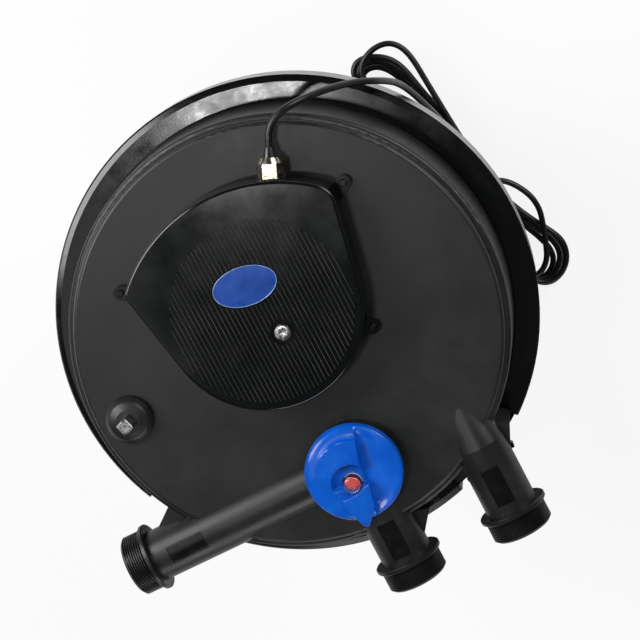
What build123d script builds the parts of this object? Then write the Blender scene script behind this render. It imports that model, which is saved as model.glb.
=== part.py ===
from build123d import *
import os
from math import acos, cos, pi, radians, sin, tan

os.makedirs("parts", exist_ok=True)

# Pressure pond filter: a tapered tub, a tall moulded lid with three hose ports, a clamp ring,
# a lamp housing on the lid, a diverter valve with a dial, and a filter core that a crank turns.
# Origin: centre of the tub's base on the ground, +Z up, front ports towards -Y, long port to -X.

# Clearances
RUN_GAP = 0.05
SEAT_GAP = 0.2
MOVE_GAP = 0.4

# Tub
TUB_BASE_R = 180.0
TUB_TOP_R = 208.0
TUB_WALL = 4.0
TUB_FLOOR = 5.0
TUB_H = 363.0
TUB_RIM_W = 20.0
TUB_FLANGE_R = TUB_TOP_R + TUB_RIM_W
TUB_FLANGE_T = 9.0
TUB_EDGE = 9.0
TUB_BAND_H = 26.0
TUB_BAND_T = 1.5
SPIGOT_R = 26.0
SPIGOT_H = 14.0
PIVOT_R = 10.0
PIVOT_H = 12.0

# Lid
LID_FLANGE_T = 8.0
LID_BASE_OUT = 2.6
LID_BASE_R = TUB_TOP_R + LID_BASE_OUT
LID_SHOULDER_IN = 0.4
LID_SHOULDER_R = TUB_TOP_R - LID_SHOULDER_IN
LID_LEDGE_IN = 6.5
LID_LEDGE_R = TUB_TOP_R - LID_LEDGE_IN
LID_WALL = 4.0
DECK_H = 90.0
LEDGE_DROP = 8.5
LID_ROUND = 4.0
GUIDE_R = 34.0
GUIDE_BORE = 27.5
GUIDE_DROP = 118.0
SEAL_OUT = 8.5
SEAL_R = TUB_TOP_R + SEAL_OUT
SEAL_W = 4.6
SEAL_T = 3.0

# Clamp ring: angles from +X, seen from above
CLAMP_WALL = 6.6
CLAMP_REACH = 16.0
CLAMP_R = TUB_FLANGE_R + MOVE_GAP + CLAMP_WALL
CLAMP_INNER_R = TUB_FLANGE_R - CLAMP_REACH
CLAMP_LIP_T = 3.7
CLAMP_H = 38.0
CLAMP_STEP_W = 6.4
CLAMP_STEP_R = CLAMP_R - CLAMP_STEP_W
CLAMP_STEP_DROP = 1.6
BAND_START = -50.8
BAND_END = 204.2
GATE_START = -135.7
GATE_END = -73.5
HINGE_ANGLE = -142.0
HINGE_IN = 2.0
HINGE_R = CLAMP_R - HINGE_IN
KNUCKLE_R = 4.8
HINGE_PIN_R = 2.5
LATCH_ANGLE = -71.0
LATCH_OUT = 2.0
LATCH_R = CLAMP_R + LATCH_OUT
LATCH_PIN_R = 2.5
KEEPER_ANGLE = -61.0
KEEPER_OUT = 1.0
KEEPER_R = CLAMP_R + KEEPER_OUT
KEEPER_POST_R = 3.0
BITE = 2.0
TONGUE_W = 4.4
TONGUE_T = 7.6
PIN_HEAD_T = 1.5
HOOK_SLACK = 3.0
LEVER_W = 5.0
TAB_L = 6.0
TAB_FLARE = 1.0

# Hose ports
PORT_R = 25.0
PORT_BORE = 22.0
TUBE_BORE = 21.0
PORT_DROP = 17.0
LONG_END = 242.0
FRONT_END = 268.0
RIGHT_X = 111.0
ELBOW_Y = -130.0
TAPER_L = 44.0
TAPER_FLUSH = 0.4
THREAD_R = 29.8
THREAD_L = 21.0
THREAD_RELIEF = 2.4
THREAD_DEPTH = 1.4
THREAD_CHAMFER = 2.0
COLLAR_R = 33.2
COLLAR_T = 4.5
PANEL_L = 38.0
PANEL_W = 18.0
PANEL_DEPTH = 0.9
WEB_RISE = 14.0
WEBS = (
    (-170.0, -122.0, (-33.0, 8.0), (-12.0, 24.0)),
    (16.0, -204.0, (24.0, -7.0), (8.0, -28.0)),
    (128.0, -158.0, (17.0, -12.0), (7.0, -34.0)),
)
LONG_PANEL = 180.0
FRONT_PANEL = 218.0
RIGHT_PANEL = 214.0

# Diverter valve
VALVE_Y = -138.3
VALVE_R = 31.0
VALVE_RISE = 9.0
ROTOR_R = 26.5
ROTOR_BORE = 18.0
STEM_R = 8.0
CAP_T = 4.0
KNOB_R = 46.0
KNOB_T = 10.0
KNOB_HUB_T = 4.0
KNOB_HUB_R = 16.0
STEM_REACH = 6.0
POINTER_ANGLE = -103.4
POINTER_REACH = 53.5
GRIP_H = 6.0
GRIP_TIP_W = 8.0
GRIP_WAIST_W = 17.0
GRIP_TAIL_W = 34.0
DIAL_FLOOR = 1.2
DOME_X = -5.0
DOME_Y = -7.7
DOME_R = 9.0
DOME_WALL = 1.5
DOME_REACH = 3.0
FLOAT_R = 5.5
FLOAT_H = 6.0

# Lamp housing on the deck
HOUSING_BACK_R = 152.0
HOUSING_DRUM_R = 93.0
HOUSING_DRUM_Y = 36.7
HOUSING_DRUM_X = -2.0
HOUSING_H = 40.0
HOUSING_WALL = 2.6
HOUSING_ROUND = 3.0
CORNER_LEFT = 134.5
CORNER_RIGHT = 46.0
CORNER_LEFT_R = 6.0
CORNER_RIGHT_R = 20.0
SIDE_LEFT_X = 114.0
SIDE_RIGHT_X = 112.0
SIDE_ROUND = 6.5
BASE_PLATE_T = 4.0
BASE_RIM_H = 6.0
RIB_FIELD_R = 85.0
RIB_PITCH = 4.2
RIB_W = 1.3
RIB_H = 0.9
BADGE_X = -4.5
BADGE_Y = 65.0
BADGE_LONG = 30.5
BADGE_SHORT = 18.4
BADGE_T = 1.6
BADGE_TURN = -8.1
COVER_SCREW_X = 6.5
COVER_SCREW_Y = 11.7
COVER_SCREW_R = 8.0
COVER_RECESS_R = 11.0
COVER_SCREW_HEAD = 4.0
COVER_SCREW_SHANK = 2.4
LUG_R = 7.0
LUG_T = 7.0
LUG_WEB = 12.0
LUGS = ((114.0, 105.0), (76.5, -26.0), (-118.0, 106.7))
LUG_SCREW_R = 3.4
LUG_SCREW_SHANK = 1.6
LUG_SCREW_HEAD = 2.4
BRIDGE_SPAN = 104.0
BRIDGE_W = 14.0
BRIDGE_T = 4.0
BRIDGE_GAP = 2.0
BALLAST_X = -25.0
BALLAST_Y = 108.0
BALLAST_L = 100.0
BALLAST_W = 36.0
BALLAST_H = 26.0

# Cable gland, cord and plug
GLAND_ANGLE = 66.8
GLAND_RISE = 19.0
GLAND_AF = 23.0
GLAND_NUT_L = 13.0
GLAND_HEX_L = 6.0
GLAND_THREAD_R = 8.0
GLAND_IN = 10.0
GLAND_TAPER = 3.0
GLAND_SEAL_L = 9.0
CORD_R = 3.35
LEAD_L = 14.0
CORD_WAY = (
    (89.5, 187.6, 471.5),
    (105.0, 190.0, 469.5),
    (120.0, 189.0, 458.5),
    (139.0, 185.5, 438.0),
    (160.0, 178.5, 411.0),
    (181.0, 166.5, 387.0),
    (190.5, 152.5, 333.0),
    (198.5, 120.0, 290.0),
    (203.0, 87.0, 242.0),
    (203.0, 60.0, 187.0),
    (200.0, 38.0, 134.0),
    (196.0, 26.0, 84.0),
)
HANK_H = 48.0
HANK_INNER_R = 186.3
HANK_OUTLINE = (
    (100.0, 150.0),
    (112.0, 172.0),
    (128.0, 178.0),
    (150.0, 181.0),
    (172.0, 178.5),
    (185.0, 167.0),
    (188.0, 146.0),
    (188.5, 127.0),
    (189.5, 99.0),
    (193.0, 75.0),
    (201.0, 50.0),
    (202.0, -18.0),
    (217.0, -22.0),
    (228.0, -37.0),
    (237.0, -54.0),
    (239.0, -84.0),
    (247.0, -111.0),
    (246.0, -133.0),
    (229.0, -148.0),
    (206.0, -152.0),
    (178.0, -152.0),
    (160.0, -110.0),
    (150.0, -60.0),
    (150.0, 60.0),
)
TAIL_WAY = (
    (190.0, -152.0, 17.0),
    (190.0, -190.0, 17.0),
    (154.0, -220.0, 17.0),
    (122.0, -225.0, 17.4),
)
PLUG_L = 46.0
PLUG_R = 16.5
PLUG_NECK_R = 6.0
PLUG_PIN_R = 2.4
PLUG_PIN_L = 19.0
PLUG_PIN_SPACING = 19.0

# Crank drive and filter core
DRIVE_ANGLE = 181.35
BOSS_R = 23.0
BOSS_RISE = 13.0
SHAFT_R = 6.0
HEAD_SIDE = 12.0
HEAD_RISE = 31.0
BUSH_SPIGOT_R = 15.0
BUSH_DROP = 14.0
SHAFT_SEAL_R = 10.0
SHAFT_SEAL_T = 5.0
SHAFT_TAIL = 4.0
PINION_T = 14.0
HEAD_TURN = 17.0
GEAR_MODULE = 4.0
PINION_TEETH = 13
GEAR_TEETH = 72
GEAR_T = 10.0
GEAR_RISE = 4.0
TOOTH_SLACK = 0.5
TOOTH_FLOOR = 0.6
PRESSURE_ANGLE = 20.0
GEAR_TIP = 3.0
PINION_TIP = 4.0
CORE_TUBE_R = 38.0
CORE_TUBE_WALL = 3.0
CORE_PLATE_T = 8.0
CORE_PLATE_R = 140.0
FOAM_R = 138.0
FOAM_COUNT = 3
GRID_T = 4.0

# Ultraviolet lamp
SLEEVE_R = 24.0
SLEEVE_WALL = 1.8
SLEEVE_L = 330.0
SLEEVE_FLANGE_R = 31.0
SLEEVE_FLANGE_T = 5.0
SLEEVE_NUT_R = 37.0
SLEEVE_NUT_T = 6.0
LAMP_TUBE_R = 8.0
LAMP_L = 250.0
LAMP_GAP = 2.5
SOCKET_R = 19.0
SOCKET_L = 22.0

# Heights and places that follow from the sizes
SEAM_Z = TUB_H
LID_FLANGE_TOP = SEAM_Z + LID_FLANGE_T
CLAMP_TOP = LID_FLANGE_TOP + MOVE_GAP + CLAMP_LIP_T
CLAMP_BOTTOM = CLAMP_TOP - CLAMP_H
TUB_FLANGE_BOTTOM = SEAM_Z - TUB_FLANGE_T
LOWER_LIP_TOP = TUB_FLANGE_BOTTOM - MOVE_GAP
DECK_Z = SEAM_Z + DECK_H
LEDGE_Z = DECK_Z - LEDGE_DROP
DECK_UNDER = DECK_Z - LID_WALL
PORT_Z = DECK_Z - PORT_DROP
VALVE_TOP = DECK_Z + VALVE_RISE
CHAMBER_BOTTOM = PORT_Z - PORT_R
CAP_TOP = VALVE_TOP + CAP_T
KNOB_Z = CAP_TOP + MOVE_GAP + KNOB_HUB_T
KNOB_TOP = KNOB_Z + KNOB_T
BASE_TOP = DECK_Z + BASE_PLATE_T
COVER_TOP = DECK_Z + HOUSING_H
GUIDE_BOTTOM = DECK_Z - GUIDE_DROP
GEAR_Z = GUIDE_BOTTOM + GEAR_RISE
CORE_Z = SPIGOT_H + SEAT_GAP
BOSS_TOP = DECK_Z + BOSS_RISE
GLAND_Z = DECK_Z + GLAND_RISE


def polar(radius, angle):
    return (radius * cos(radians(angle)), radius * sin(radians(angle)))


def corner(sketch, x, y):
    return sketch.vertices().sort_by_distance((x, y, 0))[0]


def level(z):
    return Plane.XY.offset(z)


def upright_plane(angle):
    x, y = polar(1.0, angle)
    return Plane(origin=(0, 0, 0), x_dir=(x, y, 0), z_dir=(y, -x, 0))


TONGUE_R = CLAMP_R - TONGUE_W / 2 - SEAT_GAP
UPPER_TONGUE_Z = CLAMP_BOTTOM + TONGUE_T + MOVE_GAP
DRIVE_R = GEAR_MODULE * (PINION_TEETH + GEAR_TEETH) / 2
DRIVE = polar(DRIVE_R, DRIVE_ANGLE)
GLAND_DIR = polar(1.0, GLAND_ANGLE)
HINGE = polar(HINGE_R, HINGE_ANGLE)
LATCH = polar(LATCH_R, LATCH_ANGLE)
KEEPER = polar(KEEPER_R, KEEPER_ANGLE)


# Tub
def tub_wall_r(z):
    return TUB_BASE_R + (TUB_TOP_R - TUB_BASE_R) * z / TUB_FLANGE_BOTTOM


with BuildPart() as tub:
    with BuildSketch(Plane.XZ) as tub_profile:
        with BuildLine():
            band_z = TUB_FLANGE_BOTTOM - TUB_BAND_H
            Polyline(
                (0, 0),
                (TUB_BASE_R, 0),
                (tub_wall_r(band_z), band_z),
                (tub_wall_r(band_z) + TUB_BAND_T, band_z + TUB_BAND_T),
                (TUB_TOP_R + TUB_BAND_T, TUB_FLANGE_BOTTOM),
                (TUB_FLANGE_R, TUB_FLANGE_BOTTOM),
                (TUB_FLANGE_R, SEAM_Z),
                (TUB_TOP_R - TUB_WALL, SEAM_Z),
                (tub_wall_r(TUB_FLOOR) - TUB_WALL, TUB_FLOOR),
                (SPIGOT_R, TUB_FLOOR),
                (SPIGOT_R, SPIGOT_H),
                (PIVOT_R, SPIGOT_H),
                (PIVOT_R, SPIGOT_H + PIVOT_H),
                (0, SPIGOT_H + PIVOT_H),
                close=True,
            )
        make_face()
        fillet(corner(tub_profile, TUB_BASE_R, 0), TUB_EDGE)
        fillet(corner(tub_profile, tub_wall_r(TUB_FLOOR) - TUB_WALL, TUB_FLOOR), TUB_EDGE - TUB_WALL)
    revolve(axis=Axis.Z)
    # groove for the lid seal
    with BuildSketch(level(SEAM_Z)):
        Circle(SEAL_R + SEAL_W / 2 + SEAT_GAP)
        Circle(SEAL_R - SEAL_W / 2 - SEAT_GAP, mode=Mode.SUBTRACT)
    extrude(amount=-SEAL_T, mode=Mode.SUBTRACT)
tub.part.label = "tub"
export_step(tub.part, "parts/tub.step")

with BuildPart() as lid_seal:
    with BuildSketch(level(SEAM_Z - SEAL_T)):
        Circle(SEAL_R + SEAL_W / 2)
        Circle(SEAL_R - SEAL_W / 2, mode=Mode.SUBTRACT)
    extrude(amount=SEAL_T)
lid_seal.part.label = "lid_seal"
export_step(lid_seal.part, "parts/lid_seal.step")


# Lid: a tall cap with the port tubes, the valve chamber and the lamp guide moulded on
def tube_stub(plane, radius, start, stop, mode=Mode.ADD):
    """Round length of a port along its own axis, added to the part in hand."""
    with BuildSketch(plane.offset(start)) as section:
        Circle(radius)
    extrude(section.sketch, amount=stop - start, mode=mode)


def tapered_end(small, large, mode=Mode.ADD):
    """Inner end of the right port: from its elbow under the deck to the full tube."""
    with BuildSketch(RIGHT_PLANE.offset(-ELBOW_Y)) as elbow:
        Circle(small)
    with BuildSketch(RIGHT_PLANE.offset(TAPER_L - ELBOW_Y)) as full:
        Circle(large)
    loft(sections=[elbow.sketch.face(), full.sketch.face()], mode=mode)
    with Locations((RIGHT_X, ELBOW_Y, PORT_Z)):
        Sphere(small, mode=mode)


def bare_panel(plane, middle):
    """Shallow curved recess along the top of a port tube."""
    with BuildSketch(plane.offset(middle - PANEL_L / 2)) as section:
        with Locations((0, PORT_R)):
            Rectangle(PANEL_W, PORT_R)
        Circle(PORT_R - PANEL_DEPTH, mode=Mode.SUBTRACT)
    extrude(section.sketch, amount=PANEL_L, mode=Mode.SUBTRACT)


LONG_PLANE = Plane(origin=(0, VALVE_Y, PORT_Z), x_dir=(0, -1, 0), z_dir=(-1, 0, 0))
FRONT_PLANE = Plane(origin=(0, 0, PORT_Z), x_dir=(1, 0, 0), z_dir=(0, -1, 0))
RIGHT_PLANE = Plane(origin=(RIGHT_X, 0, PORT_Z), x_dir=(1, 0, 0), z_dir=(0, -1, 0))
WEB_Z = LID_FLANGE_TOP + WEB_RISE
END_L = COLLAR_T + THREAD_L
TAPER_R = DECK_Z - PORT_Z - TAPER_FLUSH
LONG_TUBE = LONG_END - END_L
FRONT_TUBE = FRONT_END - END_L

with BuildPart() as lid:
    with BuildSketch(Plane.XZ) as lid_profile:
        with BuildLine():
            Polyline(
                (TUB_TOP_R - TUB_WALL, SEAM_Z),
                (TUB_FLANGE_R, SEAM_Z),
                (TUB_FLANGE_R, LID_FLANGE_TOP),
                (LID_BASE_R, LID_FLANGE_TOP),
                (LID_SHOULDER_R, LEDGE_Z),
                (LID_LEDGE_R, LEDGE_Z),
                (LID_LEDGE_R, DECK_Z),
                (0, DECK_Z),
                (0, DECK_UNDER),
                (LID_LEDGE_R - LID_WALL - LID_ROUND, DECK_UNDER),
                (LID_SHOULDER_R - LID_WALL, LEDGE_Z - LID_WALL - LID_ROUND),
                close=True,
            )
        make_face()
        fillet(corner(lid_profile, LID_SHOULDER_R, LEDGE_Z), LID_ROUND)
        fillet(corner(lid_profile, LID_LEDGE_R, DECK_Z), LID_ROUND)
        fillet(corner(lid_profile, LID_LEDGE_R, LEDGE_Z), LID_ROUND / 3)
    revolve(axis=Axis.Z)
    # lamp guide under the deck
    with BuildSketch(level(GUIDE_BOTTOM)):
        Circle(GUIDE_R)
    extrude(amount=GUIDE_DROP - LID_WALL / 2)
    # long port, front port and right port, which rises out of the deck
    tube_stub(LONG_PLANE, PORT_R, 0, LONG_TUBE)
    tube_stub(FRONT_PLANE, PORT_R, -VALVE_Y, FRONT_TUBE)
    tube_stub(RIGHT_PLANE, PORT_R, TAPER_L - ELBOW_Y, FRONT_TUBE)
    tapered_end(TAPER_R, PORT_R)
    # valve body, from under the port tubes to above the deck
    with BuildSketch(level(CHAMBER_BOTTOM - LID_WALL)):
        with Locations((0, VALVE_Y)):
            Circle(VALVE_R)
    extrude(amount=VALVE_TOP - CHAMBER_BOTTOM + LID_WALL)
    # corner webs between the lid's side and the port tubes
    with BuildSketch(level(WEB_Z)):
        for x, y, a, b in WEBS:
            with BuildLine():
                Polyline((x, y), (x + a[0], y + a[1]), (x + b[0], y + b[1]), close=True)
            make_face()
    extrude(amount=PORT_Z - WEB_Z)
    # bores: the ports, the chamber, the lamp guide and the drive bush seat
    tube_stub(LONG_PLANE, TUBE_BORE, 0, LONG_TUBE, Mode.SUBTRACT)
    tube_stub(FRONT_PLANE, TUBE_BORE, -VALVE_Y, FRONT_TUBE, Mode.SUBTRACT)
    tube_stub(RIGHT_PLANE, TUBE_BORE, TAPER_L - ELBOW_Y, FRONT_TUBE, Mode.SUBTRACT)
    tapered_end(TAPER_R - LID_WALL, TUBE_BORE, Mode.SUBTRACT)
    with BuildSketch(level(CHAMBER_BOTTOM - LID_WALL)):
        with Locations((RIGHT_X, ELBOW_Y)):
            Circle(TAPER_R - LID_WALL)
        with Locations((0, VALVE_Y)):
            Circle(ROTOR_BORE)
    extrude(amount=TUBE_BORE, mode=Mode.SUBTRACT)
    with BuildSketch(level(CHAMBER_BOTTOM)):
        with Locations((0, VALVE_Y)):
            Circle(ROTOR_R + RUN_GAP)
    extrude(amount=VALVE_TOP - CHAMBER_BOTTOM, mode=Mode.SUBTRACT)
    with BuildSketch(level(GUIDE_BOTTOM)):
        Circle(GUIDE_BORE)
    extrude(amount=GUIDE_DROP, mode=Mode.SUBTRACT)
    with BuildSketch(level(DECK_UNDER)):
        with Locations(DRIVE):
            Circle(BUSH_SPIGOT_R + SEAT_GAP)
    extrude(amount=LID_WALL, mode=Mode.SUBTRACT)
    # recessed label panels, left bare
    bare_panel(LONG_PLANE, LONG_PANEL)
    bare_panel(FRONT_PLANE, FRONT_PANEL)
    bare_panel(RIGHT_PLANE, RIGHT_PANEL)
lid.part.label = "lid"
export_step(lid.part, "parts/lid.step")


# Threaded ends of the three ports
def port_end(plane, mouth):
    """Collar, thread and bore in one turned piece that ends at the mouth."""
    back = mouth - END_L
    face = back + COLLAR_T
    with BuildSketch(Plane(origin=plane.origin, x_dir=plane.x_dir, z_dir=plane.y_dir)) as profile:
        with BuildLine():
            Polyline(
                (PORT_BORE, -back),
                (COLLAR_R, -back),
                (COLLAR_R, -face),
                (THREAD_R - THREAD_DEPTH, -face),
                (THREAD_R - THREAD_DEPTH, -face - THREAD_RELIEF),
                (THREAD_R, -face - THREAD_RELIEF),
                (THREAD_R, -mouth + THREAD_CHAMFER),
                (THREAD_R - THREAD_CHAMFER, -mouth),
                (PORT_BORE, -mouth),
                close=True,
            )
        make_face()
    revolve(profile.sketch, axis=Axis(plane.origin, plane.z_dir))


with BuildPart() as inlet_fitting:
    port_end(LONG_PLANE, LONG_END)
inlet_fitting.part.label = "inlet_fitting"
export_step(inlet_fitting.part, "parts/inlet_fitting.step")

with BuildPart() as bypass_fitting:
    port_end(FRONT_PLANE, FRONT_END)
bypass_fitting.part.label = "bypass_fitting"
export_step(bypass_fitting.part, "parts/bypass_fitting.step")

with BuildPart() as outlet_fitting:
    port_end(RIGHT_PLANE, FRONT_END)
outlet_fitting.part.label = "outlet_fitting"
export_step(outlet_fitting.part, "parts/outlet_fitting.step")


# Clamp ring: a channel bent round both flanges, in a long band and a hinged gate
def channel(start, stop):
    with BuildSketch(upright_plane(start)) as section:
        with BuildLine():
            Polyline(
                (CLAMP_INNER_R, CLAMP_TOP - CLAMP_LIP_T),
                (CLAMP_INNER_R, CLAMP_TOP),
                (CLAMP_STEP_R, CLAMP_TOP),
                (CLAMP_R - CLAMP_STEP_DROP, CLAMP_TOP - CLAMP_STEP_DROP),
                (CLAMP_R, CLAMP_TOP - 2 * CLAMP_STEP_DROP),
                (CLAMP_R, CLAMP_BOTTOM),
                (TUB_FLANGE_R + MOVE_GAP, CLAMP_BOTTOM),
                (TUB_FLANGE_R + MOVE_GAP, LOWER_LIP_TOP - CLAMP_LIP_T),
                (CLAMP_INNER_R + TUB_BAND_T, LOWER_LIP_TOP - CLAMP_LIP_T),
                (CLAMP_INNER_R + TUB_BAND_T, LOWER_LIP_TOP),
                (TUB_FLANGE_R + MOVE_GAP, LOWER_LIP_TOP),
                (TUB_FLANGE_R + MOVE_GAP, CLAMP_TOP - CLAMP_LIP_T),
                close=True,
            )
        make_face()
    revolve(section.sketch, axis=Axis.Z, revolution_arc=stop - start)


def arc_tongue(start, stop, radius, bottom, height):
    """Part of a flat-sided ring that carries a pivot past the end of a channel."""
    with BuildSketch(upright_plane(start)) as section:
        with Locations((radius, bottom + height / 2)):
            Rectangle(TONGUE_W, height)
    revolve(section.sketch, axis=Axis.Z, revolution_arc=stop - start)


def upright(at, radius, bottom, height, mode=Mode.ADD):
    with BuildSketch(level(bottom)) as section:
        with Locations(at):
            Circle(radius)
    extrude(section.sketch, amount=height, mode=mode)


with BuildPart() as clamp_band:
    channel(BAND_START, BAND_END)
    arc_tongue(BAND_END - BITE, 360 + HINGE_ANGLE, TONGUE_R, CLAMP_BOTTOM, TONGUE_T)
    upright(HINGE, KNUCKLE_R, CLAMP_BOTTOM, TONGUE_T)
    upright(HINGE, HINGE_PIN_R + RUN_GAP, CLAMP_BOTTOM, TONGUE_T, Mode.SUBTRACT)
    arc_tongue(KEEPER_ANGLE, BAND_START + BITE, TONGUE_R, CLAMP_BOTTOM, TONGUE_T)
    upright(KEEPER, KEEPER_POST_R, CLAMP_BOTTOM, 2 * TONGUE_T + MOVE_GAP)
clamp_band.part.label = "clamp_band"
export_step(clamp_band.part, "parts/clamp_band.step")

with BuildPart() as clamp_gate:
    channel(GATE_START, GATE_END)
    arc_tongue(HINGE_ANGLE, GATE_START + BITE, TONGUE_R, UPPER_TONGUE_Z, TONGUE_T)
    upright(HINGE, KNUCKLE_R, UPPER_TONGUE_Z, TONGUE_T)
    upright(HINGE, HINGE_PIN_R + RUN_GAP, UPPER_TONGUE_Z, TONGUE_T, Mode.SUBTRACT)
    arc_tongue(GATE_END - BITE, LATCH_ANGLE, TONGUE_R, CLAMP_BOTTOM, TONGUE_T)
    upright(LATCH, KNUCKLE_R, CLAMP_BOTTOM, TONGUE_T)
    upright(LATCH, LATCH_PIN_R + SEAT_GAP, CLAMP_BOTTOM, TONGUE_T, Mode.SUBTRACT)
clamp_gate.part.label = "clamp_gate"
export_step(clamp_gate.part, "parts/clamp_gate.step")


def headed_pin(at, radius, bottom, length):
    upright(at, radius, bottom - MOVE_GAP, length + 2 * MOVE_GAP)
    upright(at, radius * 1.5, bottom - MOVE_GAP - PIN_HEAD_T, PIN_HEAD_T)
    upright(at, radius * 1.5, bottom + length + MOVE_GAP, PIN_HEAD_T)


with BuildPart() as clamp_hinge_pin:
    headed_pin(HINGE, HINGE_PIN_R, CLAMP_BOTTOM, 2 * TONGUE_T + MOVE_GAP)
clamp_hinge_pin.part.label = "clamp_hinge_pin"
export_step(clamp_hinge_pin.part, "parts/clamp_hinge_pin.step")

with BuildPart() as latch_pin:
    headed_pin(LATCH, LATCH_PIN_R, CLAMP_BOTTOM, 2 * TONGUE_T + MOVE_GAP)
latch_pin.part.label = "latch_pin"
export_step(latch_pin.part, "parts/latch_pin.step")

# Latch lever: an eye on its pin, an arm outside the keeper post, a hook round it and a finger tab
LATCH_DIR = Vector(KEEPER[0] - LATCH[0], KEEPER[1] - LATCH[1], 0)
REACH = LATCH_DIR.length
LATCH_PLANE = Plane(
    origin=(LATCH[0], LATCH[1], UPPER_TONGUE_Z),
    x_dir=(LATCH_DIR.X, LATCH_DIR.Y, 0),
    z_dir=(0, 0, 1),
)
HOOK_IN = KEEPER_POST_R + MOVE_GAP
HOOK_FAR = REACH + KEEPER_POST_R + HOOK_SLACK
with BuildPart() as latch_lever:
    with BuildSketch(LATCH_PLANE):
        Circle(KNUCKLE_R)
        with BuildLine():
            Polyline(
                (0, KNUCKLE_R),
                (KNUCKLE_R * 2, -HOOK_IN),
                (HOOK_FAR, -HOOK_IN),
                (HOOK_FAR, KEEPER_POST_R),
                (HOOK_FAR + LEVER_W, KEEPER_POST_R),
                (HOOK_FAR + LEVER_W, -HOOK_IN - LEVER_W / 2),
                (HOOK_FAR + TAB_L, -HOOK_IN - LEVER_W - TAB_FLARE),
                (HOOK_FAR + TAB_L - LEVER_W / 2, -HOOK_IN - LEVER_W * 1.8 - TAB_FLARE),
                (HOOK_FAR - LEVER_W, -HOOK_IN - LEVER_W),
                (KNUCKLE_R, -HOOK_IN - LEVER_W),
                (-KNUCKLE_R * 0.7, -KNUCKLE_R * 0.7),
                close=True,
            )
        make_face()
        Circle(LATCH_PIN_R + RUN_GAP, mode=Mode.SUBTRACT)
    extrude(amount=TONGUE_T)
latch_lever.part.label = "latch_lever"
export_step(latch_lever.part, "parts/latch_lever.step")

# Diverter valve: rotor with an angled passage, cap, dial and flow indicator
VALVE = (0, VALVE_Y)
POINTER = polar(1.0, POINTER_ANGLE)
ROTOR_TOP = VALVE_TOP - SEAT_GAP
with BuildPart() as valve_rotor:
    upright(VALVE, ROTOR_R, CHAMBER_BOTTOM + SEAT_GAP, ROTOR_TOP - CHAMBER_BOTTOM - SEAT_GAP)
    upright(VALVE, STEM_R, ROTOR_TOP, KNOB_Z + STEM_REACH - SEAT_GAP - ROTOR_TOP)
    upright(VALVE, ROTOR_BORE, CHAMBER_BOTTOM, PORT_Z - CHAMBER_BOTTOM, Mode.SUBTRACT)
    with Locations((0, VALVE_Y, PORT_Z)):
        Sphere(ROTOR_BORE, mode=Mode.SUBTRACT)
    with BuildSketch(Plane(origin=(0, VALVE_Y, PORT_Z), z_dir=(POINTER[0], POINTER[1], 0))):
        Circle(ROTOR_BORE)
    extrude(amount=ROTOR_R + 1, mode=Mode.SUBTRACT)
valve_rotor.part.label = "valve_rotor"
export_step(valve_rotor.part, "parts/valve_rotor.step")

with BuildPart() as valve_cap:
    upright(VALVE, VALVE_R, VALVE_TOP, CAP_T)
    upright(VALVE, STEM_R + RUN_GAP, VALVE_TOP, CAP_T, Mode.SUBTRACT)
    chamfer(valve_cap.edges().group_by(Axis.Z)[-1].sort_by(SortBy.LENGTH)[-1], CAP_T / 4)
valve_cap.part.label = "valve_cap"
export_step(valve_cap.part, "parts/valve_cap.step")

# Dial: a disc with a raised, tapered grip whose narrow end points at the chosen port
DIAL_PLANE = Plane(origin=(0, VALVE_Y, KNOB_TOP), x_dir=(POINTER[0], POINTER[1], 0), z_dir=(0, 0, 1))
DOME = (DOME_X, VALVE_Y + DOME_Y)
DOME_FLOOR = KNOB_Z + STEM_REACH + DIAL_FLOOR
with BuildPart() as valve_knob:
    upright(VALVE, KNOB_R, KNOB_Z, KNOB_T)
    fillet(valve_knob.edges().group_by(Axis.Z)[-1], KNOB_T / 4)
    upright(VALVE, KNOB_HUB_R, KNOB_Z - KNOB_HUB_T, KNOB_HUB_T)
    with BuildSketch(DIAL_PLANE) as grip:
        with BuildLine():
            Polyline(
                (POINTER_REACH, -GRIP_TIP_W / 2),
                (POINTER_REACH, GRIP_TIP_W / 2),
                (KNOB_R * 0.8, GRIP_WAIST_W / 2),
                (-KNOB_R + GRIP_H / 2, GRIP_TAIL_W / 2),
                (-KNOB_R + GRIP_H / 2, -GRIP_TAIL_W / 2),
                (KNOB_R * 0.8, -GRIP_WAIST_W / 2),
                close=True,
            )
        make_face()
        fillet(grip.vertices(), GRIP_TIP_W / 4)
    extrude(amount=GRIP_H)
    with BuildSketch(DIAL_PLANE) as nose:
        with BuildLine():
            Polyline(
                (POINTER_REACH, -GRIP_TIP_W / 2),
                (POINTER_REACH, GRIP_TIP_W / 2),
                (KNOB_R * 0.8, GRIP_WAIST_W / 2),
                (KNOB_R * 0.8, -GRIP_WAIST_W / 2),
                close=True,
            )
        make_face()
        fillet(nose.vertices().sort_by_distance((200, 0, 0)), GRIP_TIP_W / 4)
    extrude(amount=-KNOB_T)
    upright(DOME, DOME_R + SEAT_GAP, DOME_FLOOR, KNOB_TOP + GRIP_H - DOME_FLOOR, Mode.SUBTRACT)
    upright(VALVE, STEM_R + SEAT_GAP, KNOB_Z - KNOB_HUB_T, KNOB_HUB_T + STEM_REACH, Mode.SUBTRACT)
valve_knob.part.label = "valve_knob"
export_step(valve_knob.part, "parts/valve_knob.step")

DOME_TOP = KNOB_TOP + GRIP_H + DOME_REACH
with BuildPart() as indicator_dome:
    upright(DOME, DOME_R, DOME_FLOOR, DOME_TOP - DOME_FLOOR)
    fillet(indicator_dome.edges().group_by(Axis.Z)[-1], DOME_R * 0.45)
    upright(DOME, DOME_R - DOME_WALL, DOME_FLOOR, DOME_TOP - DOME_FLOOR - DOME_WALL * 2, Mode.SUBTRACT)
indicator_dome.part.label = "indicator_dome"
export_step(indicator_dome.part, "parts/indicator_dome.step")

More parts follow.
